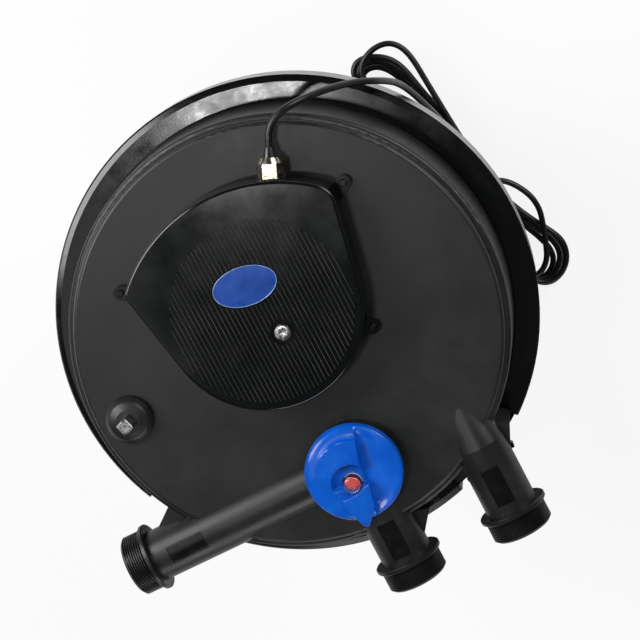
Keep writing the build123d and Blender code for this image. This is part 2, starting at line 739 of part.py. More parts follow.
with BuildPart() as indicator_float:
    upright(DOME, FLOAT_R, DOME_FLOOR + SEAT_GAP, FLOAT_H)
    fillet(indicator_float.edges().group_by(Axis.Z)[-1], FLOAT_R * 0.3)
indicator_float.part.label = "indicator_float"
export_step(indicator_float.part, "parts/indicator_float.step")


# Lamp housing: base plate, ribbed cover, badge, screws, bracket and ballast
def housing_outline(inset=0.0):
    """Round drum end towards the front, straight sides and an arc along the deck's back edge."""
    with Locations((HOUSING_DRUM_X, HOUSING_DRUM_Y)):
        Circle(HOUSING_DRUM_R - inset)
    with Locations((-SIDE_LEFT_X, HOUSING_BACK_R * 1.1), (SIDE_RIGHT_X, HOUSING_BACK_R * 1.1)):
        Circle(SIDE_ROUND - inset)
    make_hull()
    Circle(HOUSING_BACK_R - inset, mode=Mode.INTERSECT)


def rounded_outline(inset=0.0):
    with BuildSketch(mode=Mode.PRIVATE) as outline:
        housing_outline(inset)
        left = corner(outline, *polar(HOUSING_BACK_R, CORNER_LEFT))
        fillet(left, CORNER_LEFT_R - inset)
        right = corner(outline, *polar(HOUSING_BACK_R, CORNER_RIGHT))
        fillet(right, CORNER_RIGHT_R - inset)
    return outline.sketch


OUTER_OUTLINE = rounded_outline()
INNER_OUTLINE = rounded_outline(HOUSING_WALL)
RIM_OUTLINE = rounded_outline(HOUSING_WALL + SEAT_GAP)
RIM_INNER = rounded_outline(2 * HOUSING_WALL + SEAT_GAP)
NUT_HOLE_R = SLEEVE_NUT_R + 1.5



def lug_outline():
    """Screw lugs, each joined to the housing by a web as wide as the lug."""
    with BuildSketch(mode=Mode.PRIVATE) as lugs:
        for x, y in LUGS:
            inward = Vector(HOUSING_DRUM_X - x, HOUSING_DRUM_Y - y).normalized()
            with BuildSketch(mode=Mode.PRIVATE) as lug:
                with Locations((x, y), (x + inward.X * LUG_WEB, y + inward.Y * LUG_WEB)):
                    Circle(LUG_R)
                make_hull()
            add(lug.sketch)
    return lugs.sketch


with BuildPart() as uv_base:
    with BuildSketch(level(DECK_Z)):
        add(OUTER_OUTLINE)
        add(lug_outline())
    extrude(amount=BASE_PLATE_T)
    with BuildSketch(level(BASE_TOP)):
        add(RIM_OUTLINE)
        add(RIM_INNER, mode=Mode.SUBTRACT)
    extrude(amount=BASE_RIM_H)
    with BuildSketch(level(BASE_TOP)):
        add(lug_outline())
        add(rounded_outline(-SEAT_GAP), mode=Mode.SUBTRACT)
    extrude(amount=LUG_T - BASE_PLATE_T)
    with BuildSketch(level(DECK_Z)):
        Circle(NUT_HOLE_R)
    extrude(amount=BASE_PLATE_T, mode=Mode.SUBTRACT)
    with BuildSketch(level(DECK_Z)):
        with Locations(*LUGS):
            Circle(LUG_SCREW_SHANK + SEAT_GAP)
    extrude(amount=LUG_T, mode=Mode.SUBTRACT)
uv_base.part.label = "uv_base"
export_step(uv_base.part, "parts/uv_base.step")

GLAND_PLANE = Plane(origin=(0, 0, GLAND_Z), z_dir=(GLAND_DIR[0], GLAND_DIR[1], 0))
with BuildPart() as uv_cover:
    with BuildSketch(level(BASE_TOP)):
        add(OUTER_OUTLINE)
    extrude(amount=COVER_TOP - BASE_TOP)
    fillet(uv_cover.edges().group_by(Axis.Z)[-1], HOUSING_ROUND)
    with BuildSketch(level(BASE_TOP)):
        add(INNER_OUTLINE)
    extrude(amount=COVER_TOP - BASE_TOP - HOUSING_WALL, mode=Mode.SUBTRACT)
    # fine ribs over the drum, clear of the badge and the screw
    with BuildSketch(level(COVER_TOP)):
        rib_count = int(2 * RIB_FIELD_R / RIB_PITCH)
        with Locations((HOUSING_DRUM_X, HOUSING_DRUM_Y)):
            with GridLocations(RIB_PITCH, 0, rib_count, 1):
                Rectangle(RIB_W, 2 * RIB_FIELD_R)
            Circle(RIB_FIELD_R, mode=Mode.INTERSECT)
        with Locations(Location((BADGE_X, BADGE_Y, 0), (0, 0, BADGE_TURN))):
            Ellipse(BADGE_LONG + SEAT_GAP, BADGE_SHORT + SEAT_GAP, mode=Mode.SUBTRACT)
        with Locations((COVER_SCREW_X, COVER_SCREW_Y)):
            Circle(COVER_RECESS_R, mode=Mode.SUBTRACT)
    extrude(amount=RIB_H)
    with BuildSketch(level(COVER_TOP)):
        with Locations((COVER_SCREW_X, COVER_SCREW_Y)):
            Circle(COVER_RECESS_R)
    extrude(amount=-HOUSING_WALL / 2, mode=Mode.SUBTRACT)
    with BuildSketch(level(COVER_TOP)):
        with Locations((COVER_SCREW_X, COVER_SCREW_Y)):
            Circle(COVER_SCREW_SHANK + SEAT_GAP)
    extrude(amount=-HOUSING_WALL, mode=Mode.SUBTRACT)
    with BuildSketch(GLAND_PLANE.offset(HOUSING_BACK_R - HOUSING_WALL * 3)):
        Circle(GLAND_THREAD_R + SEAT_GAP)
    extrude(amount=HOUSING_WALL * 4, mode=Mode.SUBTRACT)
uv_cover.part.label = "uv_cover"
export_step(uv_cover.part, "parts/uv_cover.step")

with BuildPart() as badge:
    with BuildSketch(level(COVER_TOP)):
        with Locations(Location((BADGE_X, BADGE_Y, 0), (0, 0, BADGE_TURN))):
            Ellipse(BADGE_LONG, BADGE_SHORT)
    extrude(amount=BADGE_T)
badge.part.label = "badge"
export_step(badge.part, "parts/badge.step")

SCREW_SEAT = COVER_TOP - HOUSING_WALL / 2
BRIDGE_Z = DECK_Z + SLEEVE_FLANGE_T + SLEEVE_NUT_T + BRIDGE_GAP
BRIDGE_TOP = BRIDGE_Z + BRIDGE_T
COVER_UNDER = COVER_TOP - HOUSING_WALL
COVER_SCREW = (COVER_SCREW_X, COVER_SCREW_Y)
with BuildPart() as cover_screw:
    upright(COVER_SCREW, COVER_SCREW_R, SCREW_SEAT, COVER_SCREW_HEAD)
    chamfer(cover_screw.edges().group_by(Axis.Z)[-1], COVER_SCREW_HEAD / 4)
    with BuildSketch(level(SCREW_SEAT + COVER_SCREW_HEAD)):
        with Locations(COVER_SCREW):
            RegularPolygon(COVER_SCREW_R / 2, 6)
    extrude(amount=-COVER_SCREW_HEAD / 2, mode=Mode.SUBTRACT)
    upright(COVER_SCREW, COVER_SCREW_SHANK, BRIDGE_TOP + MOVE_GAP, SCREW_SEAT - BRIDGE_TOP - MOVE_GAP)
cover_screw.part.label = "cover_screw"
export_step(cover_screw.part, "parts/cover_screw.step")

with BuildPart() as cover_bracket:
    with BuildSketch(level(BRIDGE_Z)):
        with Locations((0, COVER_SCREW_Y)):
            Rectangle(BRIDGE_SPAN, BRIDGE_W)
    extrude(amount=BRIDGE_T)
    with BuildSketch(level(BASE_TOP)):
        for side in (-1, 1):
            with Locations((side * (BRIDGE_SPAN / 2 - BRIDGE_T / 2), COVER_SCREW_Y)):
                Rectangle(BRIDGE_T, BRIDGE_W)
    extrude(amount=BRIDGE_Z - BASE_TOP)
    upright(COVER_SCREW, BRIDGE_W / 2, BRIDGE_Z, COVER_UNDER - BRIDGE_Z)
    shank_hole = COVER_SCREW_SHANK + SEAT_GAP / 2
    upright(COVER_SCREW, shank_hole, BRIDGE_TOP, COVER_UNDER - BRIDGE_TOP, Mode.SUBTRACT)
cover_bracket.part.label = "cover_bracket"
export_step(cover_bracket.part, "parts/cover_bracket.step")

with BuildPart() as ballast:
    with BuildSketch(level(BASE_TOP)):
        with Locations((BALLAST_X, BALLAST_Y)):
            RectangleRounded(BALLAST_L, BALLAST_W, BALLAST_W / 12)
    extrude(amount=BALLAST_H)
ballast.part.label = "ballast"
export_step(ballast.part, "parts/ballast.step")

with BuildPart() as lug_screws:
    for place in LUGS:
        upright(place, LUG_SCREW_R, DECK_Z + LUG_T, LUG_SCREW_HEAD)
        upright(place, LUG_SCREW_SHANK, DECK_Z + MOVE_GAP, LUG_T - MOVE_GAP)
    chamfer(lug_screws.edges().group_by(Axis.Z)[-1], LUG_SCREW_HEAD / 3)
lug_screws.part.label = "lug_screws"
export_step(lug_screws.part, "parts/lug_screws.step")

# Quartz sleeve, its seal and nut, the lamp and its socket
with BuildPart() as quartz_sleeve:
    with BuildSketch(Plane.XZ):
        with BuildLine():
            sleeve_top = DECK_Z + SLEEVE_FLANGE_T
            sleeve_end = sleeve_top - SLEEVE_L
            Polyline(
                (0, sleeve_end),
                (SLEEVE_R * 0.6, sleeve_end),
                (SLEEVE_R, sleeve_end + SLEEVE_R * 0.4),
                (SLEEVE_R, DECK_Z),
                (SLEEVE_FLANGE_R, DECK_Z),
                (SLEEVE_FLANGE_R, sleeve_top),
                (SLEEVE_R - SLEEVE_WALL, sleeve_top),
                (SLEEVE_R - SLEEVE_WALL, sleeve_end + SLEEVE_R * 0.4),
                (SLEEVE_R * 0.6 - SLEEVE_WALL / 2, sleeve_end + SLEEVE_WALL),
                (0, sleeve_end + SLEEVE_WALL),
                close=True,
            )
        make_face()
    revolve(axis=Axis.Z)
quartz_sleeve.part.label = "quartz_sleeve"
export_step(quartz_sleeve.part, "parts/quartz_sleeve.step")

with BuildPart() as sleeve_seal:
    upright((0, 0), GUIDE_BORE - SEAT_GAP, DECK_Z - SLEEVE_FLANGE_T, SLEEVE_FLANGE_T)
    upright((0, 0), SLEEVE_R + RUN_GAP, DECK_Z - SLEEVE_FLANGE_T, SLEEVE_FLANGE_T, Mode.SUBTRACT)
sleeve_seal.part.label = "sleeve_seal"
export_step(sleeve_seal.part, "parts/sleeve_seal.step")

with BuildPart() as sleeve_nut:
    upright((0, 0), SLEEVE_NUT_R, sleeve_top, SLEEVE_NUT_T)
    upright((0, 0), SLEEVE_R - SLEEVE_WALL, sleeve_top, SLEEVE_NUT_T, Mode.SUBTRACT)
    with BuildSketch(level(sleeve_top)):
        with PolarLocations(SLEEVE_NUT_R, 8):
            Circle(SLEEVE_NUT_T / 2)
    extrude(amount=SLEEVE_NUT_T, mode=Mode.SUBTRACT)
sleeve_nut.part.label = "sleeve_nut"
export_step(sleeve_nut.part, "parts/sleeve_nut.step")

SOCKET_TOP = sleeve_top + SLEEVE_NUT_T / 2
SOCKET_BOTTOM = SOCKET_TOP - SOCKET_L
with BuildPart() as lamp_socket:
    upright((0, 0), SOCKET_R, SOCKET_BOTTOM, SOCKET_L)
    upright((0, 0), SLEEVE_R - SLEEVE_WALL - SEAT_GAP, sleeve_top - MOVE_GAP, SOCKET_TOP - sleeve_top)
lamp_socket.part.label = "lamp_socket"
export_step(lamp_socket.part, "parts/lamp_socket.step")

with BuildPart() as uv_lamp:
    with BuildSketch(level(SOCKET_BOTTOM - LAMP_L)):
        for side in (-1, 1):
            with Locations((side * (LAMP_TUBE_R + LAMP_GAP / 2), 0)):
                Circle(LAMP_TUBE_R)
    extrude(amount=LAMP_L)
    with BuildSketch(level(SOCKET_BOTTOM - LAMP_L + LAMP_TUBE_R)):
        Rectangle(2 * LAMP_TUBE_R, LAMP_TUBE_R)
    extrude(amount=LAMP_TUBE_R)
uv_lamp.part.label = "uv_lamp"
export_step(uv_lamp.part, "parts/uv_lamp.step")

# Cable gland
GLAND_FACE = HOUSING_BACK_R
with BuildPart() as gland_body:
    with BuildSketch(GLAND_PLANE.offset(GLAND_FACE - GLAND_IN)):
        Circle(GLAND_THREAD_R)
    extrude(amount=GLAND_IN)
    with BuildSketch(GLAND_PLANE.offset(GLAND_FACE)):
        RegularPolygon(GLAND_AF / 2, 6, major_radius=False)
    extrude(amount=GLAND_HEX_L)
gland_body.part.label = "gland_body"
export_step(gland_body.part, "parts/gland_body.step")

GLAND_NUT_FACE = GLAND_FACE + GLAND_HEX_L
GLAND_END = GLAND_NUT_FACE + GLAND_NUT_L
with BuildPart() as gland_nut:
    with BuildSketch(GLAND_PLANE.offset(GLAND_NUT_FACE)):
        RegularPolygon(GLAND_AF / 2 - SEAT_GAP, 6, major_radius=False)
    extrude(amount=GLAND_NUT_L * 0.6)
    with BuildSketch(GLAND_PLANE.offset(GLAND_NUT_FACE + GLAND_NUT_L * 0.6)) as nut_root:
        Circle(GLAND_AF / 2 - SEAT_GAP)
    with BuildSketch(GLAND_PLANE.offset(GLAND_END)) as nut_tip:
        Circle(GLAND_AF / 2 - GLAND_TAPER)
    loft(sections=[nut_root.sketch, nut_tip.sketch])
gland_nut.part.label = "gland_nut"
export_step(gland_nut.part, "parts/gland_nut.step")

SEAL_TIP = GLAND_END + GLAND_SEAL_L
with BuildPart() as gland_seal:
    with BuildSketch(GLAND_PLANE.offset(GLAND_END)) as seal_root:
        Circle(CORD_R * 1.9)
    with BuildSketch(GLAND_PLANE.offset(SEAL_TIP)) as seal_tip:
        Circle(CORD_R * 1.25)
    loft(sections=[seal_root.sketch, seal_tip.sketch])
gland_seal.part.label = "gland_seal"
export_step(gland_seal.part, "parts/gland_seal.step")

# Crank drive: bush on the deck, shaft with a square head, seal and pinion
with BuildPart() as drive_bush:
    with BuildSketch(Plane(origin=(DRIVE[0], DRIVE[1], DECK_Z), x_dir=(1, 0, 0), z_dir=(0, -1, 0))) as bush:
        with BuildLine():
            Polyline(
                (SHAFT_R + RUN_GAP, -BUSH_DROP),
                (BUSH_SPIGOT_R, -BUSH_DROP),
                (BUSH_SPIGOT_R, 0),
                (BOSS_R, 0),
                (BOSS_R, BOSS_RISE * 0.35),
                (BOSS_R * 0.8, BOSS_RISE * 0.8),
                (BOSS_R * 0.5, BOSS_RISE),
                (SHAFT_R + RUN_GAP, BOSS_RISE),
                close=True,
            )
        make_face()
        fillet(corner(bush, BOSS_R * 0.8, BOSS_RISE * 0.8), BOSS_RISE * 0.6)
        fillet(corner(bush, BOSS_R, BOSS_RISE * 0.35), BOSS_RISE * 0.2)
    revolve(axis=Axis((DRIVE[0], DRIVE[1], 0), (0, 0, 1)))
    upright(DRIVE, SHAFT_SEAL_R + SEAT_GAP, DECK_Z - BUSH_DROP, SHAFT_SEAL_T, Mode.SUBTRACT)
drive_bush.part.label = "drive_bush"
export_step(drive_bush.part, "parts/drive_bush.step")

with BuildPart() as shaft_seal:
    upright(DRIVE, SHAFT_SEAL_R, DECK_Z - BUSH_DROP, SHAFT_SEAL_T - SEAT_GAP)
    upright(DRIVE, SHAFT_R + RUN_GAP, DECK_Z - BUSH_DROP, SHAFT_SEAL_T, Mode.SUBTRACT)
shaft_seal.part.label = "shaft_seal"
export_step(shaft_seal.part, "parts/shaft_seal.step")

HEAD_Z = BOSS_TOP + MOVE_GAP
PINION_Z = GEAR_Z - (PINION_T - GEAR_T) / 2
with BuildPart() as drive_shaft:
    upright(DRIVE, SHAFT_R, PINION_Z - SHAFT_TAIL, HEAD_Z - PINION_Z + SHAFT_TAIL)
    with BuildSketch(level(HEAD_Z)):
        with Locations(Location((DRIVE[0], DRIVE[1], 0), (0, 0, HEAD_TURN))):
            RectangleRounded(HEAD_SIDE, HEAD_SIDE, HEAD_SIDE / 10)
    extrude(amount=DECK_Z + HEAD_RISE - HEAD_Z)
    chamfer(drive_shaft.edges().group_by(Axis.Z)[-1], HEAD_SIDE / 12)
drive_shaft.part.label = "drive_shaft"
export_step(drive_shaft.part, "parts/drive_shaft.step")


def involute(x):
    return tan(x) - x


def gear_outline(teeth, tip, mate_tip, phase):
    """Corner points of a spur gear with involute flanks, a tooth centred on the phase angle."""
    pitch_r = GEAR_MODULE * teeth / 2
    base_r = pitch_r * cos(radians(PRESSURE_ANGLE))
    root_r = pitch_r - mate_tip - TOOTH_FLOOR
    tip_r = pitch_r + tip
    half_pitch = (pi * GEAR_MODULE / 2 - TOOTH_SLACK) / 2 / pitch_r
    flank = [max(root_r, base_r), pitch_r, tip_r]
    if root_r < base_r:
        flank = [base_r, (base_r + pitch_r) / 2, pitch_r, tip_r]
    at_pitch = involute(radians(PRESSURE_ANGLE))
    half = [(root_r, half_pitch + at_pitch)] if root_r < base_r else []
    for r in flank:
        half.append((r, half_pitch + at_pitch - involute(acos(min(1, base_r / r)))))
    points = []
    for tooth in range(teeth):
        middle = radians(phase) + 2 * pi * tooth / teeth
        for r, a in half:
            points.append((r * cos(middle - a), r * sin(middle - a)))
        for r, a in reversed(half):
            points.append((r * cos(middle + a), r * sin(middle + a)))
    return points


with BuildPart() as drive_pinion:
    with BuildSketch(level(PINION_Z)):
        with Locations(DRIVE):
            Polygon(
                *gear_outline(PINION_TEETH, PINION_TIP, GEAR_TIP, DRIVE_ANGLE + 180),
                align=None,
            )
            Circle(SHAFT_R + SEAT_GAP / 2, mode=Mode.SUBTRACT)
    extrude(amount=PINION_T)
drive_pinion.part.label = "drive_pinion"
export_step(drive_pinion.part, "parts/drive_pinion.step")

# Filter core: base plate on the tub's pivot, perforated tube, foams, grids and the toothed top plate
CORE_PLATE_TOP = CORE_Z + CORE_PLATE_T
with BuildPart() as core_base_plate:
    upright((0, 0), CORE_PLATE_R, CORE_Z, CORE_PLATE_T)
    upright((0, 0), PIVOT_R + RUN_GAP, CORE_Z, CORE_PLATE_T, Mode.SUBTRACT)
core_base_plate.part.label = "core_base_plate"
export_step(core_base_plate.part, "parts/core_base_plate.step")

with BuildPart() as core_gear_plate:
    with BuildSketch(level(GEAR_Z)):
        Polygon(
            *gear_outline(GEAR_TEETH, GEAR_TIP, PINION_TIP, DRIVE_ANGLE + 180 / GEAR_TEETH),
            align=None,
        )
        Circle(GUIDE_R + RUN_GAP, mode=Mode.SUBTRACT)
    extrude(amount=GEAR_T)
core_gear_plate.part.label = "core_gear_plate"
export_step(core_gear_plate.part, "parts/core_gear_plate.step")

with BuildPart() as core_tube:
    upright((0, 0), CORE_TUBE_R, CORE_PLATE_TOP, GEAR_Z - CORE_PLATE_TOP)
    upright((0, 0), CORE_TUBE_R - CORE_TUBE_WALL, CORE_PLATE_TOP, GEAR_Z - CORE_PLATE_TOP, Mode.SUBTRACT)
core_tube.part.label = "core_tube"
export_step(core_tube.part, "parts/core_tube.step")

LAYER_H = (GEAR_Z - CORE_PLATE_TOP - (FOAM_COUNT - 1) * GRID_T) / FOAM_COUNT
LAYER_STEP = LAYER_H + GRID_T
for index, name in enumerate(("foam_coarse", "foam_medium", "foam_fine")):
    with BuildPart() as foam:
        foam_z = CORE_PLATE_TOP + index * LAYER_STEP + SEAT_GAP
        upright((0, 0), FOAM_R, foam_z, LAYER_H - 2 * SEAT_GAP)
        upright((0, 0), CORE_TUBE_R + SEAT_GAP, foam_z, LAYER_H, Mode.SUBTRACT)
    foam.part.label = name
    export_step(foam.part, "parts/" + name + ".step")

with BuildPart() as foam_grids:
    for index in range(FOAM_COUNT - 1):
        grid_z = CORE_PLATE_TOP + LAYER_H + index * LAYER_STEP
        upright((0, 0), FOAM_R, grid_z, GRID_T)
        upright((0, 0), CORE_TUBE_R + SEAT_GAP, grid_z, GRID_T, Mode.SUBTRACT)
foam_grids.part.label = "foam_grids"
export_step(foam_grids.part, "parts/foam_grids.step")


# Power cord
def unit(a, b):
    d = Vector(*b) - Vector(*a)
    return d / d.length


def bend_radii(points):
    radii = []
    for a, b, c in zip(points, points[1:], points[2:]):
        turn = unit(a, b).get_angle(unit(b, c))
        run = min((Vector(*b) - Vector(*a)).length, (Vector(*c) - Vector(*b)).length)
        radii.append(0.45 * run / tan(radians(turn / 2)))
    return radii


def cord_along(points):
    with BuildLine() as path:
        FilletPolyline(*points, radius=bend_radii(points))
    with BuildSketch(Plane(origin=points[0], z_dir=unit(points[0], points[1]))) as section:
        Circle(CORD_R)
    sweep(section.sketch, path=path.line)


CORD_START = (SEAL_TIP * GLAND_DIR[0], SEAL_TIP * GLAND_DIR[1], GLAND_Z)
CORD_LEAD = (CORD_START[0] + LEAD_L * GLAND_DIR[0], CORD_START[1] + LEAD_L * GLAND_DIR[1], GLAND_Z)
CORD_POINTS = (CORD_START, CORD_LEAD) + CORD_WAY + ((CORD_WAY[-1][0], CORD_WAY[-1][1], HANK_H),)
with BuildPart() as power_cord:
    cord_along(CORD_POINTS)
power_cord.part.label = "power_cord"
export_step(power_cord.part, "parts/power_cord.step")

with BuildPart() as cord_hank:
    with BuildSketch():
        with BuildLine():
            Polyline(*HANK_OUTLINE, close=True)
        make_face()
        Circle(HANK_INNER_R, mode=Mode.SUBTRACT)
    extrude(amount=HANK_H)
cord_hank.part.label = "cord_hank"
export_step(cord_hank.part, "parts/cord_hank.step")

with BuildPart() as cord_tail:
    cord_along(TAIL_WAY)
cord_tail.part.label = "cord_tail"
export_step(cord_tail.part, "parts/cord_tail.step")

PLUG_DIR = unit(TAIL_WAY[-2], TAIL_WAY[-1])
PLUG_PLANE = Plane(origin=TAIL_WAY[-1], x_dir=(0, 0, 1), z_dir=PLUG_DIR)
with BuildPart() as mains_plug:
    with BuildSketch(PLUG_PLANE) as plug_root:
        Circle(PLUG_NECK_R)
    with BuildSketch(PLUG_PLANE.offset(PLUG_L * 0.6)) as plug_face:
        Circle(PLUG_R)
    loft(sections=[plug_root.sketch, plug_face.sketch])
    with BuildSketch(PLUG_PLANE.offset(PLUG_L * 0.6)):
        Circle(PLUG_R)
    extrude(amount=PLUG_L * 0.4)
    with BuildSketch(PLUG_PLANE.offset(PLUG_L)):
        with Locations((0, -PLUG_PIN_SPACING / 2), (0, PLUG_PIN_SPACING / 2)):
            Circle(PLUG_PIN_R)
    extrude(amount=PLUG_PIN_L)
mains_plug.part.label = "mains_plug"
export_step(mains_plug.part, "parts/mains_plug.step")
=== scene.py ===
"""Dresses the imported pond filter: finishes, threads, dial, cord and a plain studio."""

import logging
import math
from collections.abc import Iterable, Sequence
from dataclasses import dataclass
from enum import Enum
from itertools import groupby

import bmesh
import bpy
from mathutils import Matrix, Vector


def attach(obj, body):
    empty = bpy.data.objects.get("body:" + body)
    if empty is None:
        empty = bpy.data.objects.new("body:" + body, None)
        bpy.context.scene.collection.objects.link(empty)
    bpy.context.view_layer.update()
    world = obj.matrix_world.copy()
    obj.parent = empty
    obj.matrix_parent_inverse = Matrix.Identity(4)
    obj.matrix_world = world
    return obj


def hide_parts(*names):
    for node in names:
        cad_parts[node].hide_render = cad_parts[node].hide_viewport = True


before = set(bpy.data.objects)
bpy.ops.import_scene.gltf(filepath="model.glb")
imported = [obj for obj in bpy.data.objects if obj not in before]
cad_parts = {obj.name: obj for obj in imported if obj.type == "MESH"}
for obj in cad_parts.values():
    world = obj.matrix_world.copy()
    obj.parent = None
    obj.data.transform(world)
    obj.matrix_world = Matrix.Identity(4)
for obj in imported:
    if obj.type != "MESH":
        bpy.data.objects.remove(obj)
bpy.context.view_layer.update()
LOG = logging.getLogger("pond_filter")
MM = 0.001
# Points nearer than this, in metres, are one
WELD = 1e-6
Point = tuple[float, float, float]
Place = tuple[float, float]


def linear(colour: str) -> tuple[float, float, float, float]:
    """Turns an sRGB hex colour into the linear colour that a shader reads.

    Args:
        colour: six hex digits, such as "1a2b3c".

    Returns:
        Red, green, blue and an alpha of one.
    """
    parts = [int(colour[i : i + 2], 16) / 255 for i in (0, 2, 4)]
    values = [c / 12.92 if c <= 0.04045 else ((c + 0.055) / 1.055) ** 2.4 for c in parts]
    return (values[0], values[1], values[2], 1.0)


def metres(points: Iterable[Sequence[float]]) -> list[Vector]:
    """Turns points in millimetres into vectors in metres."""
    return [Vector(p) * MM for p in points]


# Materials


def add_node(
    tree: bpy.types.NodeTree,
    kind: str,
    settings: dict[str, object] | None = None,
    links: dict[str, bpy.types.NodeSocket] | None = None,
) -> bpy.types.Node:
    """Adds one shader node with its settings and the links into it.

    Args:
        tree: the material's node tree.
        kind: the node's type name.
        settings: socket names or node attributes and their values.
        links: input socket names and the output sockets that feed them.

    Returns:
        The new node.
    """
    node = tree.nodes.new(kind)
    for name, value in (settings or {}).items():
        if name in node.inputs:
            node.inputs[name].default_value = value
        else:
            setattr(node, name, value)
    for name, source in (links or {}).items():
        tree.links.new(source, node.inputs[name])
    return node


def ramp(
    tree: bpy.types.NodeTree, source: bpy.types.NodeSocket, stops: Sequence[tuple[float, str]]
) -> bpy.types.NodeSocket:
    """Maps a value from 0 to 1 to a row of colours.

    Args:
        tree: the material's node tree.
        source: the value.
        stops: places from 0 to 1 with their sRGB hex colours.

    Returns:
        The colour output.
    """
    node = add_node(tree, "ShaderNodeValToRGB", links={"Fac": source})
    while len(node.color_ramp.elements) < len(stops):
        node.color_ramp.elements.new(0.5)
    for element, (place, colour) in zip(node.color_ramp.elements, stops):
        element.position = place
        element.color = linear(colour)
    return node.outputs["Color"]


# Where the dark, the main and the light tone stand on the broad noise
TONE_STOPS = (0.3, 0.5, 0.75)
# The part of the broad noise over which the gloss changes
SCUFF_SPAN = (0.3, 0.7)
# The lowest roughness that any surface has
MIRROR = 0.02


@dataclass(frozen=True)
class Finish:
    """A real surface: its colours, gloss, grain and wear.

    The grain is the size of one bump in millimetres. Scuffs are broad, faint changes of gloss.
    """

    name: str
    colour: str
    dark: str
    light: str
    roughness: float
    grain_mm: float
    grain_height_mm: float
    scuff_mm: float = 40.0
    scuff: float = 0.08
    metallic: float = 0.0
    transmission: float = 0.0
    ior: float = 1.5
    sheen: float = 0.0

    def noise(
        self, tree: bpy.types.NodeTree, size_mm: float, detail: float, roughness: float
    ) -> bpy.types.NodeSocket:
        """Adds noise in object space.

        Args:
            tree: the material's node tree.
            size_mm: the size of one patch in millimetres.
            detail: how many finer layers it has.
            roughness: how strong the finer layers are.

        Returns:
            The noise's value.
        """
        place = add_node(tree, "ShaderNodeTexCoord").outputs["Object"]
        settings = {"Scale": 1 / (size_mm * MM), "Detail": detail, "Roughness": roughness}
        return add_node(tree, "ShaderNodeTexNoise", settings, {"Vector": place}).outputs["Fac"]

    def build(self) -> bpy.types.Material:
        """Makes the node material.

        Returns:
            The material, with its colour, gloss and grain driven by noise in object space.
        """
        material = bpy.data.materials.new(self.name)
        material.use_nodes = True
        tree = material.node_tree
        tree.nodes.clear()
        broad = self.noise(tree, self.scuff_mm, 5.0, 0.6)
        fine = self.noise(tree, self.grain_mm, 2.0, 0.5)
        colour = ramp(tree, broad, tuple(zip(TONE_STOPS, (self.dark, self.colour, self.light))))
        gloss = add_node(
            tree,
            "ShaderNodeMapRange",
            {
                "From Min": SCUFF_SPAN[0],
                "From Max": SCUFF_SPAN[1],
                "To Min": max(MIRROR, self.roughness - self.scuff),
                "To Max": min(1.0, self.roughness + self.scuff),
            },
            {"Value": broad},
        ).outputs["Result"]
        bump = add_node(
            tree,
            "ShaderNodeBump",
            {"Strength": 1.0, "Distance": self.grain_height_mm * MM},
            {"Height": fine},
        ).outputs["Normal"]
        shader = add_node(
            tree,
            "ShaderNodeBsdfPrincipled",
            {
                "Metallic": self.metallic,
                "Transmission Weight": self.transmission,
                "Sheen Weight": self.sheen,
            },
            {"Base Color": colour, "Roughness": gloss, "Normal": bump},
        )
        if not self.metallic:
            shader.inputs["IOR"].default_value = self.ior
        add_node(tree, "ShaderNodeOutputMaterial", links={"Surface": shader.outputs["BSDF"]})
        return material


# Spark-eroded black polypropylene: a fine even grain that breaks up every reflection
LID_SKIN = Finish(
    "Grained black PP lid", "191a19", "141514", "222322",
    roughness=0.4, grain_mm=1.5, grain_height_mm=0.06, scuff_mm=55, scuff=0.06,
)
# The tub, in the same resin from a blasted tool: a wide dull sheen
TUB_SKIN = Finish(
    "Blasted black PP tub", "0e0f0f", "0b0c0c", "151616",
    roughness=0.5, grain_mm=1.2, grain_height_mm=0.03, scuff_mm=80, scuff=0.05,
)
# Port ends and hidden mouldings: the lid's resin, slightly greyer where handled
PORT_SKIN = Finish(
    "Satin black PP fitting", "111212", "0d0e0e", "1a1a19",
    roughness=0.36, grain_mm=1.0, grain_height_mm=0.04, scuff_mm=25, scuff=0.08,
)
# Bare panels from a polished insert: darker than the grain round them
PANEL_SKIN = Finish(
    "Polished black PP panel", "070808", "050606", "0c0d0d",
    roughness=0.22, grain_mm=1.2, grain_height_mm=0.05, scuff_mm=12, scuff=0.06,
)
# Polished black ABS: mirror-like with a faint haze of dust
CLAMP_SKIN = Finish(
    "Polished black ABS ring", "050606", "040505", "090a0a",
    roughness=0.17, grain_mm=2.4, grain_height_mm=0.02, scuff_mm=26, scuff=0.07,
)
# The lamp cover's ABS: the deepest black, with long soft waves from its mould
HOUSING_SKIN = Finish(
    "Polished black ABS cover", "040606", "030505", "070909",
    roughness=0.14, grain_mm=4.0, grain_height_mm=0.006, scuff_mm=50, scuff=0.04,
)
# Blue ABS of the dial: strong pigment under a clear gloss
DIAL_SKIN = Finish(
    "Gloss blue ABS dial", "0058c8", "0050ba", "0a66d4",
    roughness=0.24, grain_mm=2.5, grain_height_mm=0.01, scuff_mm=30, scuff=0.06,
)
# Painted highlight on the rib crests: grey beads that draw the drum's fine light lines
RIB_CREST_HIGHLIGHT = Finish(
    "Painted highlight on the cover's rib crests", "303130", "232423", "454644",
    roughness=0.34, grain_mm=1.0, grain_height_mm=0.02, scuff_mm=30, scuff=0.08,
)
# Lacquer over blue foil: even, with a soft shine
BADGE_SKIN = Finish(
    "Blue lacquered badge", "0c3f94", "09367f", "124ba6",
    roughness=0.2, grain_mm=2.0, grain_height_mm=0.004, scuff_mm=20, scuff=0.04,
)
# The badge's pressed edge, where metal shows through: a thin light arc
BADGE_RIM = Finish(
    "Bare rim of the badge", "7f9bc4", "6f8cb8", "97b0d4",
    roughness=0.25, grain_mm=2.0, grain_height_mm=0.004, scuff_mm=10, scuff=0.05, metallic=0.4,
)
